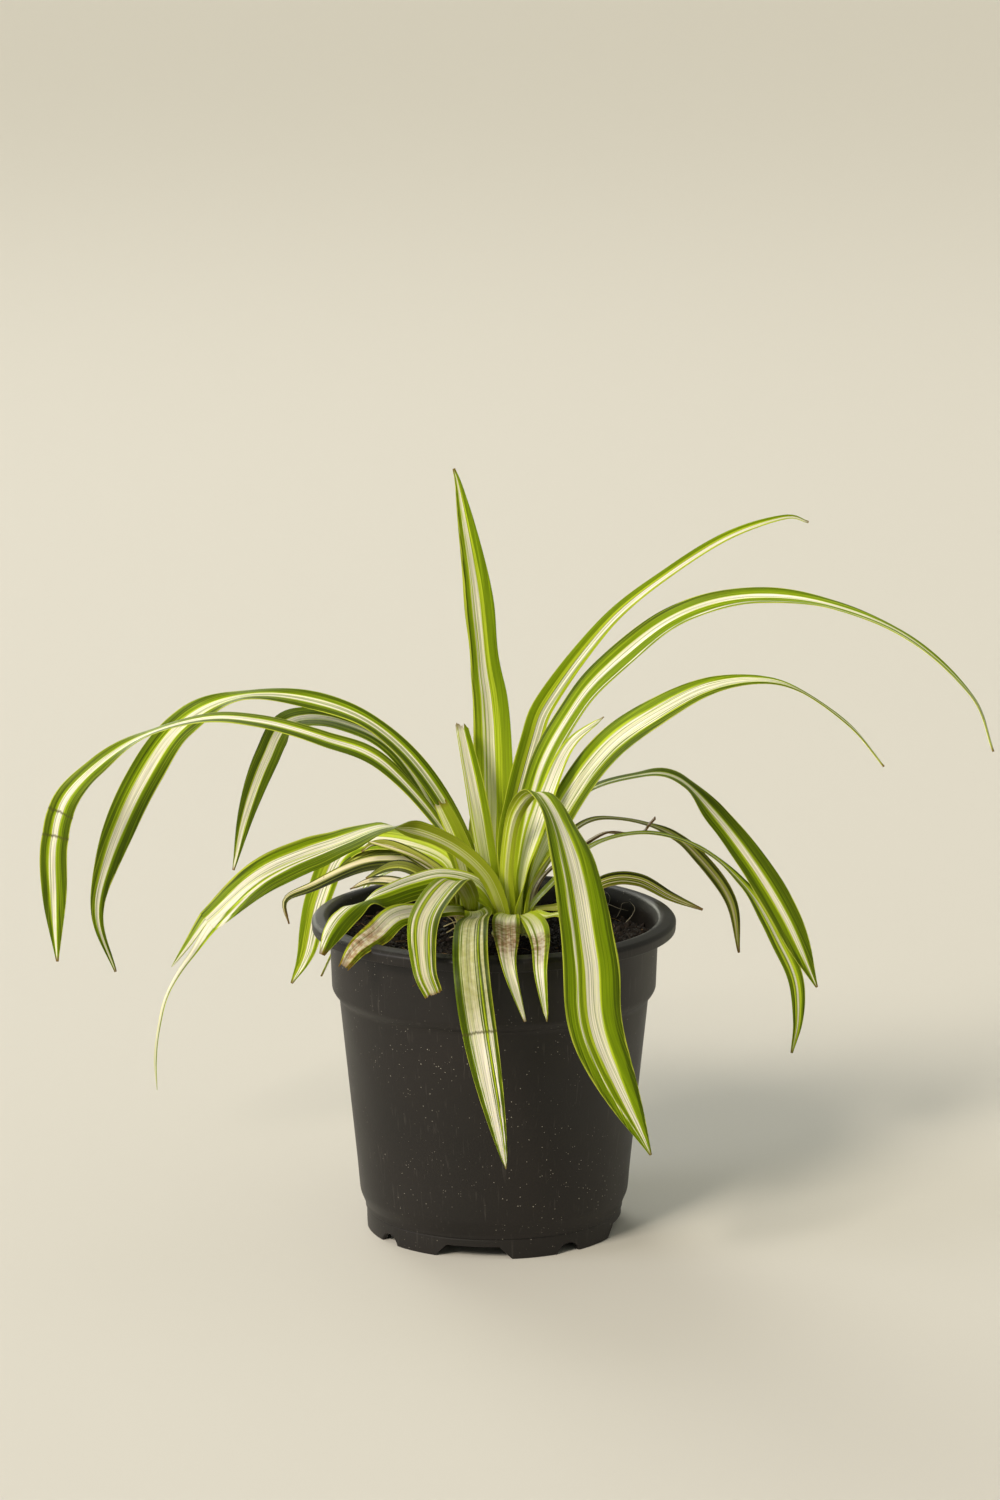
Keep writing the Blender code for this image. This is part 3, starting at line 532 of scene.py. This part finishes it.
# A living leaf: waxy and satin, its colour in long streaks beside the veins, thin enough to glow.
# The streaks are 0.3 mm apart, which is the spacing of the veins.
def leafMaterial(name, leaf, length, seed):
    tone = {key: srgb(value) for key, value in tones[leaf.tone].items()}
    material, add, shader = newMaterial(
        name + "_waxyBlade", IOR=1.45, Subsurface_Weight=0.3, Subsurface_Radius=(0.9, 1.0, 0.35),
        Subsurface_Scale=0.0006, Specular_IOR_Level=0.12)
    across, along = add("SeparateXYZ", add("UVMap", uv_map="blade")).outputs[:2]
    x, y = add("SeparateXYZ", add("UVMap", uv_map="millimetres")).outputs[:2]

    def lines(perMm, alongMm, detail, shift):      # noise drawn out along the blade
        return add("TexNoise", add("CombineXYZ", add("Math", x, perMm, operation="MULTIPLY"),
                                   add("Math", y, alongMm, operation="MULTIPLY"), seed * shift),
                   Scale=1.0, Detail=detail)

    streak, sway = lines(blade["veins"], 0.045, 3.0, 3.7), lines(0.5, 0.02, 1.0, 1.9)
    hairs = lines(2.1, 0.008, 1.0, 2.3)
    # stripes, wider or narrower toward the tip, whose borders waver with the two noises
    across = add("Math", across, 2.0, -1.0, operation="MULTIPLY_ADD")
    near = add("MapRange", along, 0, 1, *leaf.stretch[:2])
    far = add("MapRange", along, 0, 1, *leaf.stretch[2:])
    if leaf.squeeze:
        hump = add("Math", add("MapRange", along, 0, 1, 0, math.pi), operation="SINE")
        far = add("Math", hump, leaf.squeeze, far, operation="MULTIPLY_ADD")
    scale = add("Mix", add("Math", across, 0.0, operation="GREATER_THAN"), near, far, data_type="FLOAT")
    lookup = add("Math", across, scale, operation="MULTIPLY")
    lookup = add("Math", lookup, 0.5, 0.42, operation="MULTIPLY_ADD")
    for waver, share in ((streak, 0.07), (sway, 0.09)):
        lookup = add("Math", waver, share, lookup, operation="MULTIPLY_ADD")
    colour = setRamp(add("ValToRGB", lookup), *stripeStops(leaf))
    # fine green lines in the cream and light ones in the green
    colour = add("Mix", add("MapRange", hairs, 0.57, 0.62, 0, 0.6), colour, tone["green"], data_type="RGBA")
    colour = add("Mix", add("MapRange", hairs, 0.43, 0.38, 0, 0.3), colour, tone["lime"], data_type="RGBA")
    colour = add("VectorMath", colour, add("MapRange", streak, 0.3, 0.7, 0.68, 1.2), operation="MULTIPLY")
    # pale base, where the blade grows out of the crown
    fade = add("MapRange", y, leaf.pale, 4.0, 0, 0.68, interpolation_type="SMOOTHSTEP")
    colour = add("Mix", fade, colour, tone["base"], data_type="RGBA")
    # paler below: partly the underside's own duller colour, partly painted glow of light shining through the
    # blade
    under = add("Math", add("Attribute", attribute_name="under").outputs["Fac"], 0.4, operation="MULTIPLY")
    colour = add("Mix", under, colour, tone["under"], data_type="RGBA")
    blotch = add("TexNoise", add("UVMap", uv_map="millimetres"), Scale=0.5, Detail=4.0)
    # a glaze over part of the length: a real stain on some leaves, painted shade on the creased and the cut
    # leaf
    if leaf.stain:
        begin, end, least, most = leaf.stain
        rise = add("MapRange", along, begin - 0.05, begin + 0.05)
        fall = add("MapRange", along, end + 0.08, end - 0.04)
        region = add("Math", rise, fall, operation="MULTIPLY")
        region = add("Math", region, add("MapRange", blotch, 0.36, 0.6, least, most), operation="MULTIPLY")
        colour = add("Mix", region, colour, srgb(leaf.stainColour), data_type="RGBA", blend_type="MULTIPLY")
    if leaf.spots:
        speck = add("MapRange", blotch, 0.72 - 0.12 * leaf.spots, 0.78, 0, 0.9)
        colour = add("Mix", speck, colour, srgb("#4d3719"), data_type="RGBA")
    if leaf.brownTip:
        left = add("Math", streak, 3.0, y, operation="MULTIPLY_ADD")
        dry = add("MapRange", left, length + 1.5 - leaf.brownTip, length + 1.5, 0, 0.9)
        colour = add("Mix", dry, colour, srgb("#6b4a22"), data_type="RGBA")
    for crease in leaf.creases:
        away = add("Math", streak, 2.0, y, operation="MULTIPLY_ADD")
        away = add("Math", away, crease * length + 1.0, operation="SUBTRACT")
        away = add("Math", away, operation="ABSOLUTE")
        line = add("MapRange", away, 0.7, 0.15, 0, 0.75)
        colour = add("Mix", line, colour, srgb("#4a4a1c"), data_type="RGBA")
    setInputs(shader, Base_Color=colour, Roughness=add("MapRange", streak, 0, 1, 0.34, 0.5),
              Normal=add("Bump", Strength=0.35, Distance=0.00015, Height=streak))
    return material


def buildLeaves():
    for number, (kind, values) in enumerate(leaves.items(), 1):
        values = {**leafDefaults, **values}
        values.update({key: numbers(values[key]) for key in ("roll", "path", "profile")})
        name, leaf = "leaf_" + kind, SimpleNamespace(**values)
        grid, u, s = leafGrid(leaf, number)
        length = s.max()
        parts = [(grid, u, s)]
        if kind == "left_split":
            middle = blade["columns"] // 2
            halves = (np.arange(0, middle + 1), np.arange(middle, blade["columns"] + 1))
            for paths, columns in zip(splitTips, halves):
                strip, along = stripGrid(grid, columns, paths, length)
                parts.append((strip, np.repeat(u[:1, columns], len(strip), axis=0),
                              np.repeat(along[:, None], strip.shape[1], axis=1)))
        newPiece(name + "_blade", bladeMesh(name + "_blade", parts, length),
                 leafMaterial(name, leaf, length, number),
                 name if leaf.solid else None)


buildLeaves()
print("leaves built")

pot = {
    "sides": 192,
    "rimRadius": 60.2, "rimHeight": 106.0, "lipDrop": 4.8,
    "collarRadius": 54.3, "collarBottom": 81.0,
    "bodyTop": 51.2, "bodyBottom": 44.6, "bodyHeight": 12.5,
    "footRadius": 42.4, "footWall": 1.6, "wall": 1.0,
    "floor": 4.4, "pad": 11.0, "padSlope": 3.0,
    "firstNotch": -99.5, "notches": 4, "cutReach": 9.0,
    "wideNotch": (28.0, 17.5, 4.2),            # width at the table and at its top, and height
    "archRadius": 4.6, "archDrop": 1.2,        # a round notch, its middle below the table
    "holes": 8, "holeRadius": 3.2, "holeCircle": 27.0, "holeDepth": 4.0,
}


# A profile from (radius, height, fillet) corners, each fillet an arc-like curve
def roundedProfile(corners, steps=5):
    points = []
    for index, (radius, height, fillet) in enumerate(corners):
        here = Vector((radius, height))
        if not fillet or index in (0, len(corners) - 1):
            points.append(here)
            continue
        before = Vector(corners[index - 1][:2]) - here
        after = Vector(corners[index + 1][:2]) - here
        reach = min(fillet, before.length * 0.49, after.length * 0.49)
        a, b = here + before.normalized() * reach, here + after.normalized() * reach
        for step in range(steps + 1):
            t = step / steps
            points.append(a * (1 - t) ** 2 + here * (2 * t * (1 - t)) + b * t ** 2)
    return points


# A closed body turned about Z from a profile in mm that starts and ends on the axis. It is made face by
# face, so that the vertices come in the same order each run, and what is scattered over them too.
def turnedMesh(name, profile, sides):
    points = [tuple(profile[0])]
    for point in profile[1:]:
        if math.dist(point, points[-1]) > 0.004:
            points.append(tuple(point))
    verts, rings = [], []
    for radius, height in points:
        count = sides if radius > 0 else 1
        rings.append([len(verts) + side % count for side in range(sides + 1)])
        turns = [math.tau * side / sides for side in range(count)]
        verts += [(radius * mm * math.cos(turn), radius * mm * math.sin(turn), height * mm) for turn in turns]
    faces = [tuple(dict.fromkeys((low[side], low[side + 1], high[side + 1], high[side])))
             for low, high in zip(rings, rings[1:]) for side in range(sides)]
    # a profile that runs clockwise would turn its faces inwards
    if sum(r0 * z1 - r1 * z0 for (r0, z0), (r1, z1) in zip(points, points[1:] + points[:1])) < 0:
        faces = [face[::-1] for face in faces]
    mesh = bpy.data.meshes.new(name)
    mesh.from_pydata(verts, [], faces)
    return mesh


# Runs a node tree on a mesh, with its inputs given by name, and returns the plain result
def applyNodes(mesh, tree, **values):
    ob = newObject("working", mesh)
    modifier = ob.modifiers.new("nodes", "NODES")
    modifier.node_group = tree
    for item in tree.interface.items_tree:
        if item.item_type == "SOCKET" and item.in_out == "INPUT" and item.name in values:
            modifier[item.identifier] = values[item.name]
    bpy.context.view_layer.update()
    depsgraph = bpy.context.evaluated_depsgraph_get()
    result = bpy.data.meshes.new_from_object(ob.evaluated_get(depsgraph))
    bpy.data.objects.remove(ob)
    return result


# A geometry tree with the named inputs: what adds nodes to it, its inputs and its result
def newTree(name, **kinds):
    tree = bpy.data.node_groups.new(name, "GeometryNodeTree")
    tree.interface.new_socket("Geometry", in_out="OUTPUT", socket_type="NodeSocketGeometry")
    for socket, kind in {"Geometry": "Geometry", **kinds, "Material": "Material"}.items():
        tree.interface.new_socket(socket, in_out="INPUT", socket_type="NodeSocket" + kind)
    result = tree.nodes.new("NodeGroupOutput")
    return tree, partial(addNode, tree), tree.nodes.new("NodeGroupInput").outputs, result


# Cuts copies of one cutter, set evenly round the Z axis, out of the mesh
def ringCutTree():
    tree, add, given, result = newTree("ringCut", Cutter="Object", Count="Int", Bearing="Float")
    cutter = add("GeometryNodeObjectInfo", given["Cutter"])
    spots = add("GeometryNodeMeshLine", given["Count"], Offset=(0, 0, 0))
    step = add("Math", math.tau, given["Count"], operation="DIVIDE")
    turn = add("Math", add("GeometryNodeInputIndex"), step, given["Bearing"], operation="MULTIPLY_ADD")
    copies = add("GeometryNodeInstanceOnPoints", spots, Instance=cutter.outputs["Geometry"],
                 Rotation=add("CombineXYZ", 0, 0, turn))
    solid = add("GeometryNodeRealizeInstances", copies)
    cut = add("GeometryNodeMeshBoolean", given["Geometry"], solid, operation="DIFFERENCE", solver="EXACT")
    setInputs(result, add("GeometryNodeSetMaterial", cut, Material=given["Material"]))
    return tree


# Injection-moulded polypropylene, coloured through with carbon black: a dry, slightly greasy satin
# that shows a grey sheen, pale dust specks under a millimetre wide and faint upright scuffs.
def potMaterial():
    material, add, shader = newMaterial("mouldedPolypropylene", IOR=1.49, Specular_IOR_Level=0.4)
    spot = add("TexCoord").outputs["Object"]
    cloud = add("TexNoise", spot, Scale=28.0, Detail=5.0)
    colour = setRamp(add("ValToRGB", cloud), (0.3, "#110e0c"), (0.7, "#1a1512"))
    scuff = add("TexNoise", add("Mapping", spot, Scale=(1.0, 1.0, 0.08)), Scale=900.0, Detail=3.0)
    scuff = add("MapRange", scuff, 0.62, 0.8, 0, 0.18)
    colour = add("Mix", scuff, colour, srgb("#6b6660"), data_type="RGBA")
    grain = add("TexVoronoi", spot, Scale=1400.0)
    size = add("SeparateColor", grain.outputs["Color"])
    speck = add("Math", grain, add("MapRange", size, 0.82, 1.0, 0, 0.26), operation="LESS_THAN")
    dust = add("Math", speck, add("MapRange", cloud, 0.4, 0.6, 0, 0.7), operation="MULTIPLY")
    colour = add("Mix", dust, colour, srgb("#b9b3a6"), data_type="RGBA")
    texture = add("TexNoise", spot, Scale=1400.0, Detail=2.0)
    setInputs(shader, Base_Color=colour, Roughness=add("MapRange", cloud, 0.3, 0.7, 0.42, 0.56),
              Normal=add("Bump", Strength=0.12, Distance=0.0002, Height=texture))
    return material


def buildPot():
    p = SimpleNamespace(**pot)
    rim, lip = p.rimHeight, p.rimHeight - p.lipDrop
    outer, collar, step = p.rimRadius, p.collarRadius, p.collarBottom
    foot, raised = p.footRadius, p.floor + p.wall
    corners = [
        # up the inside
        (0, p.wall, 0), (p.pad - p.wall, p.wall, 1), (p.pad + p.padSlope - p.wall, raised, 1),
        (foot - 1, raised, 1), (p.bodyBottom - p.wall, p.bodyHeight, 2), (p.bodyTop - p.wall, step - 2, 0.6),
        (collar - p.wall - 0.8, step + 1, 0.6), (collar - p.wall, rim - 4, 1.2),
        # over the lip and under it
        (collar + 0.2, rim - 0.5, 0.8), (collar + 1.8, rim, 0.5), (outer - 1.0, rim - 0.7, 0.5),
        (outer, rim - 1.8, 0.5), (outer - 0.2, lip, 0.35), (outer - 1.3, lip, 0.3),
        (outer - 1.5, rim - 2.5, 0.4), (collar + 1.0, rim - 2.0, 0.8),
        # down the collar, its rounded step and the tapered body
        (collar, rim - 4.6, 1), (collar - 0.7, step + 0.8, 1.2), (collar - 1.6, step - 0.8, 0.9),
        (p.bodyTop, step - 2.4, 1.0), (p.bodyBottom + 0.9, 23, 3), (p.bodyBottom, p.bodyHeight, 1.2),
        # the foot, with its groove
        (foot + 0.5, 8.4, 0.6), (foot + 0.4, 7.0, 0.1), (foot - 0.1, 6.7, 0.1), (foot, 6.2, 0.1),
        (foot, 0, 0.5), (foot - p.footWall, 0, 0.4), (foot - p.footWall, p.floor, 0.8),
        (p.pad + p.padSlope, p.floor, 1), (p.pad, 0, 0.6), (0, 0, 0),
    ]
    mesh = turnedMesh("pot_shell", roundedProfile(corners), p.sides)
    low, high, height = p.wideNotch
    wide, arch, drain = bmesh.new(), bmesh.new(), bmesh.new()
    bmesh.ops.create_cube(wide, size=1)
    for vert in wide.verts:
        top = vert.co.z > 0
        vert.co = (foot + vert.co.x * p.cutReach, vert.co.y * (high if top else low), height if top else -1)
    bmesh.ops.create_cone(arch, cap_ends=True, segments=48, radius1=p.archRadius, radius2=p.archRadius,
                          depth=p.cutReach)
    bmesh.ops.rotate(arch, matrix=Matrix.Rotation(math.pi / 2, 3, "Y"), verts=arch.verts)
    bmesh.ops.translate(arch, vec=(foot, 0, -p.archDrop), verts=arch.verts)
    bmesh.ops.create_cone(drain, cap_ends=True, segments=32, radius1=p.holeRadius, radius2=p.holeRadius,
                          depth=p.holeDepth)
    bmesh.ops.translate(drain, vec=(p.holeCircle, 0, p.floor), verts=drain.verts)
    plastic, tree, first = potMaterial(), ringCutTree(), math.radians(p.firstNotch)
    for bm, count, bearing in ((wide, p.notches, first), (arch, p.notches, first + math.pi / p.notches),
                               (drain, p.holes, math.pi / p.holes)):
        bmesh.ops.scale(bm, vec=(mm, mm, mm), verts=bm.verts)
        cutter = newObject("cutter", newMesh("cutter", bm))
        mesh = applyNodes(mesh, tree, Cutter=cutter, Count=count, Bearing=bearing, Material=plastic)
        bpy.data.objects.remove(cutter)
    mesh.shade_smooth()
    mesh.set_sharp_from_angle(angle=math.radians(32))
    newPiece("pot_shell", mesh, plastic, "pot")


buildPot()
print("pot built")

# Crumbs, lumps and fibres are so many to the square metre; their sizes are in metres
soil = {
    "level": 97.2, "gap": 0.3, "rings": 60, "sides": 160, "skinFrom": 94.5, "seed": 11,
    "crumbs": {"Density": 720000.0, "Least": 0.0003, "Most": 0.0009, "Dent": 0.0006},
    "lumps": {"Density": 60000.0, "Least": 0.0009, "Most": 0.0021, "Dent": 0.0016},
    "fibres": {"Density": 16000.0, "Length": 0.007, "Thickness": 0.00011, "Bend": 0.005},
}


# Dark peat compost: matt, almost black when moist, with brown crumbs from 0.5 to 3 mm
def peatMaterial(name, dark, light, scale):
    material, add, shader = newMaterial(name, Roughness=0.92, IOR=1.4)
    clump = add("TexNoise", add("TexCoord").outputs["Object"], Scale=scale, Detail=6.0)
    setInputs(shader, Base_Color=setRamp(add("ValToRGB", clump), (0.35, dark), (0.7, light)),
              Normal=add("Bump", Strength=0.8, Distance=0.0006, Height=clump))
    return material


# Copies of a shape scattered over the given mesh, turned at random and made real
def scatter(add, given, shape, size, turns):
    spots = add("GeometryNodeDistributePointsOnFaces", given["Geometry"], Density=given["Density"],
                Seed=given["Seed"])
    turn = add("FunctionNodeRandomValue", *turns, Seed=given["Seed"], data_type="FLOAT_VECTOR")
    return add("GeometryNodeRealizeInstances", add(
        "GeometryNodeInstanceOnPoints", spots, Instance=shape, Rotation=turn, Scale=size))


# Pushes points about by noise less its middle value, in smaller waves for a higher scale
def push(add, loose, scale, middle, amount):
    away = add("TexNoise", add("GeometryNodeInputPosition"), Scale=scale, Detail=1.0).outputs["Color"]
    away = add("VectorMath", away, middle, operation="SUBTRACT")
    away = add("VectorMath", away, Scale=amount, operation="SCALE")
    return add("GeometryNodeSetPosition", loose, Offset=away)


# Scatters crumbs over a surface, turns and sizes them at random, and dents each one
def crumbTree():
    tree, add, given, result = newTree("crumbs", Density="Float", Seed="Int", Least="Float", Most="Float",
                                       Dent="Float")
    shape = add("GeometryNodeMeshIcoSphere", 1.0, 1)
    size = add("FunctionNodeRandomValue", given["Least"], given["Most"], Seed=given["Seed"],
               data_type="FLOAT")
    squat = add("FunctionNodeRandomValue", (0.6, 0.6, 0.4), (1.2, 1.0, 0.8), Seed=given["Seed"],
                data_type="FLOAT_VECTOR")
    solid = scatter(add, given, shape, add("VectorMath", squat, size, operation="MULTIPLY"),
                    ((0, 0, 0), (6.3, 6.3, 6.3)))
    dented = push(add, solid, 900.0, (0.5, 0.5, 0.5), given["Dent"])
    setInputs(result, add("GeometryNodeSetMaterial", dented, Material=given["Material"]))
    return tree


# Scatters short bent fibres that lie on a surface
def fibreTree():
    tree, add, given, result = newTree("fibres", Density="Float", Seed="Int", Length="Float",
                                       Thickness="Float", Bend="Float")
    line = add("GeometryNodeResampleCurve", add("GeometryNodeCurvePrimitiveLine", End=(1, 0, 0)), Count=7)
    size = add("FunctionNodeRandomValue", 0.35, 1.0, Seed=given["Seed"], data_type="FLOAT")
    loose = scatter(add, given, line, add("Math", size, given["Length"], operation="MULTIPLY"),
                    ((-0.25, -0.35, 0), (0.25, 0.35, 6.3)))
    bent = push(add, loose, 180.0, (0.5, 0.5, 0.42), given["Bend"])
    ring = add("GeometryNodeCurvePrimitiveCircle", 5, Radius=given["Thickness"])
    tube = add("GeometryNodeCurveToMesh", bent, ring, Fill_Caps=True)
    setInputs(result, add("GeometryNodeSetMaterial", tube, Material=given["Material"]))
    return tree


# The same uneven surface as the solid's, with finer crumbs on it
def soilHeight(x, y):
    def rough(depth, scale, layer):
        return depth * wander(x * scale, y * scale, layer)

    mound = 1.3 * math.exp(-(x * x + y * y) / 900)
    lumps, fine = rough(0.9, 0.09, 3) + rough(0.5, 0.2, 8), rough(0.45, 0.55, 5) + rough(0.25, 1.4, 2)
    return soil["level"] + mound + lumps + fine


def buildSoil():
    p, gap = SimpleNamespace(**pot), soil["gap"]
    inner = p.wall + gap
    raised, reach = p.floor + inner, p.collarRadius - inner - 0.5
    side = [(0, inner), (p.pad - inner, inner), (p.pad + p.padSlope - inner, raised),
            (p.footRadius - 1 - gap, raised), (p.bodyBottom - inner, p.bodyHeight + gap),
            (p.bodyTop - inner, p.collarBottom - 2), (p.collarRadius - inner - 0.8, p.collarBottom + 1)]
    top = [(reach * (1 - step / soil["rings"]), soil["level"]) for step in range(soil["rings"] + 1)]
    mesh = turnedMesh("soil_bed", side + top, soil["sides"])
    for vert in mesh.vertices:
        if abs(vert.co.z - soil["level"] * mm) < 1e-6:
            vert.co.z = soilHeight(vert.co.x / mm, vert.co.y / mm) * mm
    bm = bmesh.new()
    bm.from_mesh(mesh)
    buried = [face for face in bm.faces if face.calc_center_median().z < soil["skinFrom"] * mm]
    bmesh.ops.delete(bm, geom=buried, context="FACES")
    surface = newMesh("soil_surface", bm)
    mesh.shade_smooth()
    peat = peatMaterial("moistPeat", "#080605", "#1f150d", 700.0)
    newPiece("soil_bed", mesh, peat, "soil")
    crumbs = crumbTree()
    bark = peatMaterial("peatLumps", "#0a0706", "#281c13", 500.0)
    fibre = peatMaterial("dryFibre", "#3a2818", "#8a6c48", 300.0)      # moss and wood threads 0.2 mm thick
    for number, (kind, tree, material) in enumerate((("crumbs", crumbs, peat), ("lumps", crumbs, bark),
                                                     ("fibres", fibreTree(), fibre))):
        loose = applyNodes(surface.copy(), tree, Seed=soil["seed"] + number, Material=material, **soil[kind])
        newPiece("soil_" + kind, loose, material)


# Loose threads lying on the soil: what is left of old leaf bases, and fine roots against the wall
strands = {
    "straw": {"slot": "leaf_dry", "radius": 0.22, "dark": "#a8965e", "light": "#e0d3a2", "paths": (
        "-4.6 -1 98.5, -8.6 -2 101.9, -11.6 -3 104.9, -14.6 -4 107.9",
        "-15.6 -2 100, -11.6 -3 102.5, -7.6 -3 103.3, -4.1 -3 102.9",
        "-13.6 -1 106.9, -12.1 -3 103.9, -9.6 -3 102.9, -6.6 -2 105.4",
        "-10.6 -2 98.5, -11.1 -2 101.9, -10.1 -3 104.5, -8.6 -2 106.9",
        "-16.6 -3 102.3, -12.6 -3 103.9, -8.6 -3.5 103.9, -4.6 -4 101.5",
        "-5.6 -3 99, -7.6 -3 102.5, -10.6 -3 104.9, -14.1 -2 105.5",
        "-12.6 -2 98.6, -11.6 -3 101.5, -9.1 -3 103.9, -6.6 -3 106.3",
        "-15.6 -2 105.5, -11.1 -3 105.9, -7.6 -3 104.9, -4.6 -3 102.5",
        "-14.6 -4 98.8, -10.6 -4 100, -7.1 -4 101.3, -3.6 -4 99.2",
        "-9.6 -5 98.6, -12.6 -4 101.9, -13.6 -4 104.5, -16.1 -3 106.3")},
    "fineRoots": {"slot": "leaf_dry", "radius": 0.13, "dark": "#6e6758", "light": "#a8a18e", "paths": (
        "36 30 97.8, 38 33 100, 39 34.5 103, 37.5 36 104.6, 35 37.5 103.6",
        "41 27 97.8, 42.5 29.5 100, 43 30 102, 45 26 103.4",
        "33 34 98, 36 35 100.6, 38 34 101, 42 29 100.6, 45 24 101",
        "44 20 98, 46 21 100, 47 21.5 102.6, 45.5 25 104",
        "30 38 98, 33 39 101, 34 39.2 103.4, 38 35.5 104.2")},
}


def buildStrands():
    for name, kind in strands.items():
        bm = bmesh.new()
        for path in kind["paths"]:
            points, places = smoothPath(numbers(path), 0.6)
            rings, last = [], len(points) - 1
            for index, point in enumerate(points):
                ahead = Vector(points[min(index + 1, last)] - points[max(index - 1, 0)]).normalized()
                side = (side - ahead * side.dot(ahead) if index else ahead.orthogonal()).normalized()
                up = ahead.cross(side)
                thin = kind["radius"] * (1 - 0.6 * places[index] / places[-1])
                rings.append([bm.verts.new((Vector(point) + side * (thin * math.cos(turn))
                                            + up * (thin * math.sin(turn))) * mm)
                              for turn in np.linspace(0, math.tau, 7)[:-1]])
            for ring, following in zip(rings, rings[1:]):
                for a in range(6):
                    bm.faces.new((ring[a], ring[(a + 1) % 6], following[(a + 1) % 6], following[a]))
            bm.faces.new(rings[0][::-1])
            bm.faces.new(rings[-1])
        mesh = newMesh("soil_" + name, bm)
        mesh.shade_smooth()
        newPiece("soil_" + name, mesh, peatMaterial(name, kind["dark"], kind["light"], 260.0))


buildSoil()
buildStrands()
print("soil built")

# Each rootstock's crown and its radius in mm
rootstocks = {"crown_main": ("main", 7.6), "crown_left": ("left", 5.3)}


# Fleshy leaf bases, ivory where they meet the soil, with the same satin skin as the leaves
def rootstockMaterial():
    material, add, shader = newMaterial("ivoryRootstock", Roughness=0.5, IOR=1.45, Subsurface_Weight=0.3,
                                        Subsurface_Scale=0.0015)
    spot = add("TexCoord").outputs["Object"]
    shade = setRamp(add("ValToRGB", add("TexNoise", spot, Scale=400.0, Detail=4.0)),
                    (0.35, "#8c8a4a"), (0.65, "#c9c886"))
    buried = add("MapRange", add("SeparateXYZ", spot).outputs[2], 0.0995, 0.0975)
    setInputs(shader, Base_Color=add("Mix", buried, shade, srgb("#4c3a22"), data_type="RGBA"))
    return material


def buildRootstocks():
    skin = rootstockMaterial()
    for node, (crown, radius) in rootstocks.items():
        bottom = 84
        corners = [(0, 100.2, 0), (radius - 1.2, 100.0, 0.8), (radius, 98.8, 0.8), (radius, bottom + 5, 2),
                   (radius * 0.7, bottom, 1), (0, bottom, 0)]
        mesh = turnedMesh(node + "_bulb", roundedProfile(corners), 64)
        x, y = crowns[crown]
        mesh.transform(Matrix.Translation((x * mm, y * mm, 0)))
        mesh.shade_smooth()
        newPiece(node + "_bulb", mesh, skin, node)


buildRootstocks()
print("rootstocks built")

# The key light is a soft sun; the room is even, with one soft bright window low behind the plant, to the left
stage = {
    "floor": "#d2cfc8", "reach": 20, "key": 2.8, "keySoftness": 18, "fill": 19, "back": 12,
    "world": "#e8e8d8", "worldStrength": 0.46, "window": 7.0, "windowAt": (-0.42, 0.86, 0.29),
}


def addLight(name, place, height, size, power, colour):
    data = bpy.data.lights.new(name, "AREA" if size else "SUN")
    data.energy = power
    if size:
        data.size = size
    else:
        data.angle = math.radians(stage["keySoftness"])
    data.color = srgb(colour)[:3]
    ob = newObject(name, data)
    ob.location = place
    ob.rotation_euler = (Vector((0, 0, height)) - Vector(place)).to_track_quat("-Z", "Y").to_euler()


def addStage():
    mesh, r = bpy.data.meshes.new("floor"), stage["reach"]
    mesh.from_pydata([(-r, -r, 0), (r, -r, 0), (r, r, 0), (-r, r, 0)], [], [(0, 1, 2, 3)])
    mesh.materials.append(newMaterial("palePaper", Roughness=0.9, Base_Color=srgb(stage["floor"]))[0])
    floor = newObject("floor", mesh)
    scene.world = bpy.data.worlds.new("studio")
    scene.world.use_nodes = True
    add = partial(addNode, scene.world.node_tree)
    off = add("VectorMath", add("TexCoord").outputs["Generated"], stage["windowAt"], operation="DISTANCE")
    glow = add("MapRange", off, 0.34, 0.14, stage["worldStrength"], stage["window"],
               interpolation_type="SMOOTHSTEP")
    setInputs(scene.world.node_tree.nodes["Background"], srgb(stage["world"]), glow)
    addLight("key", (-2.2, -3.0, 2.7), 0.12, None, stage["key"], "#fff4e2")
    addLight("fill", (-2.4, -0.5, 1.1), 0.12, 1.2, stage["fill"], "#f6f6ff")
    addLight("back", (-0.7, 2.0, 2.3), 0.15, 1.4, stage["back"], "#ffffff")
    scene.view_settings.view_transform = "Standard"


addStage()
print("stage lit")
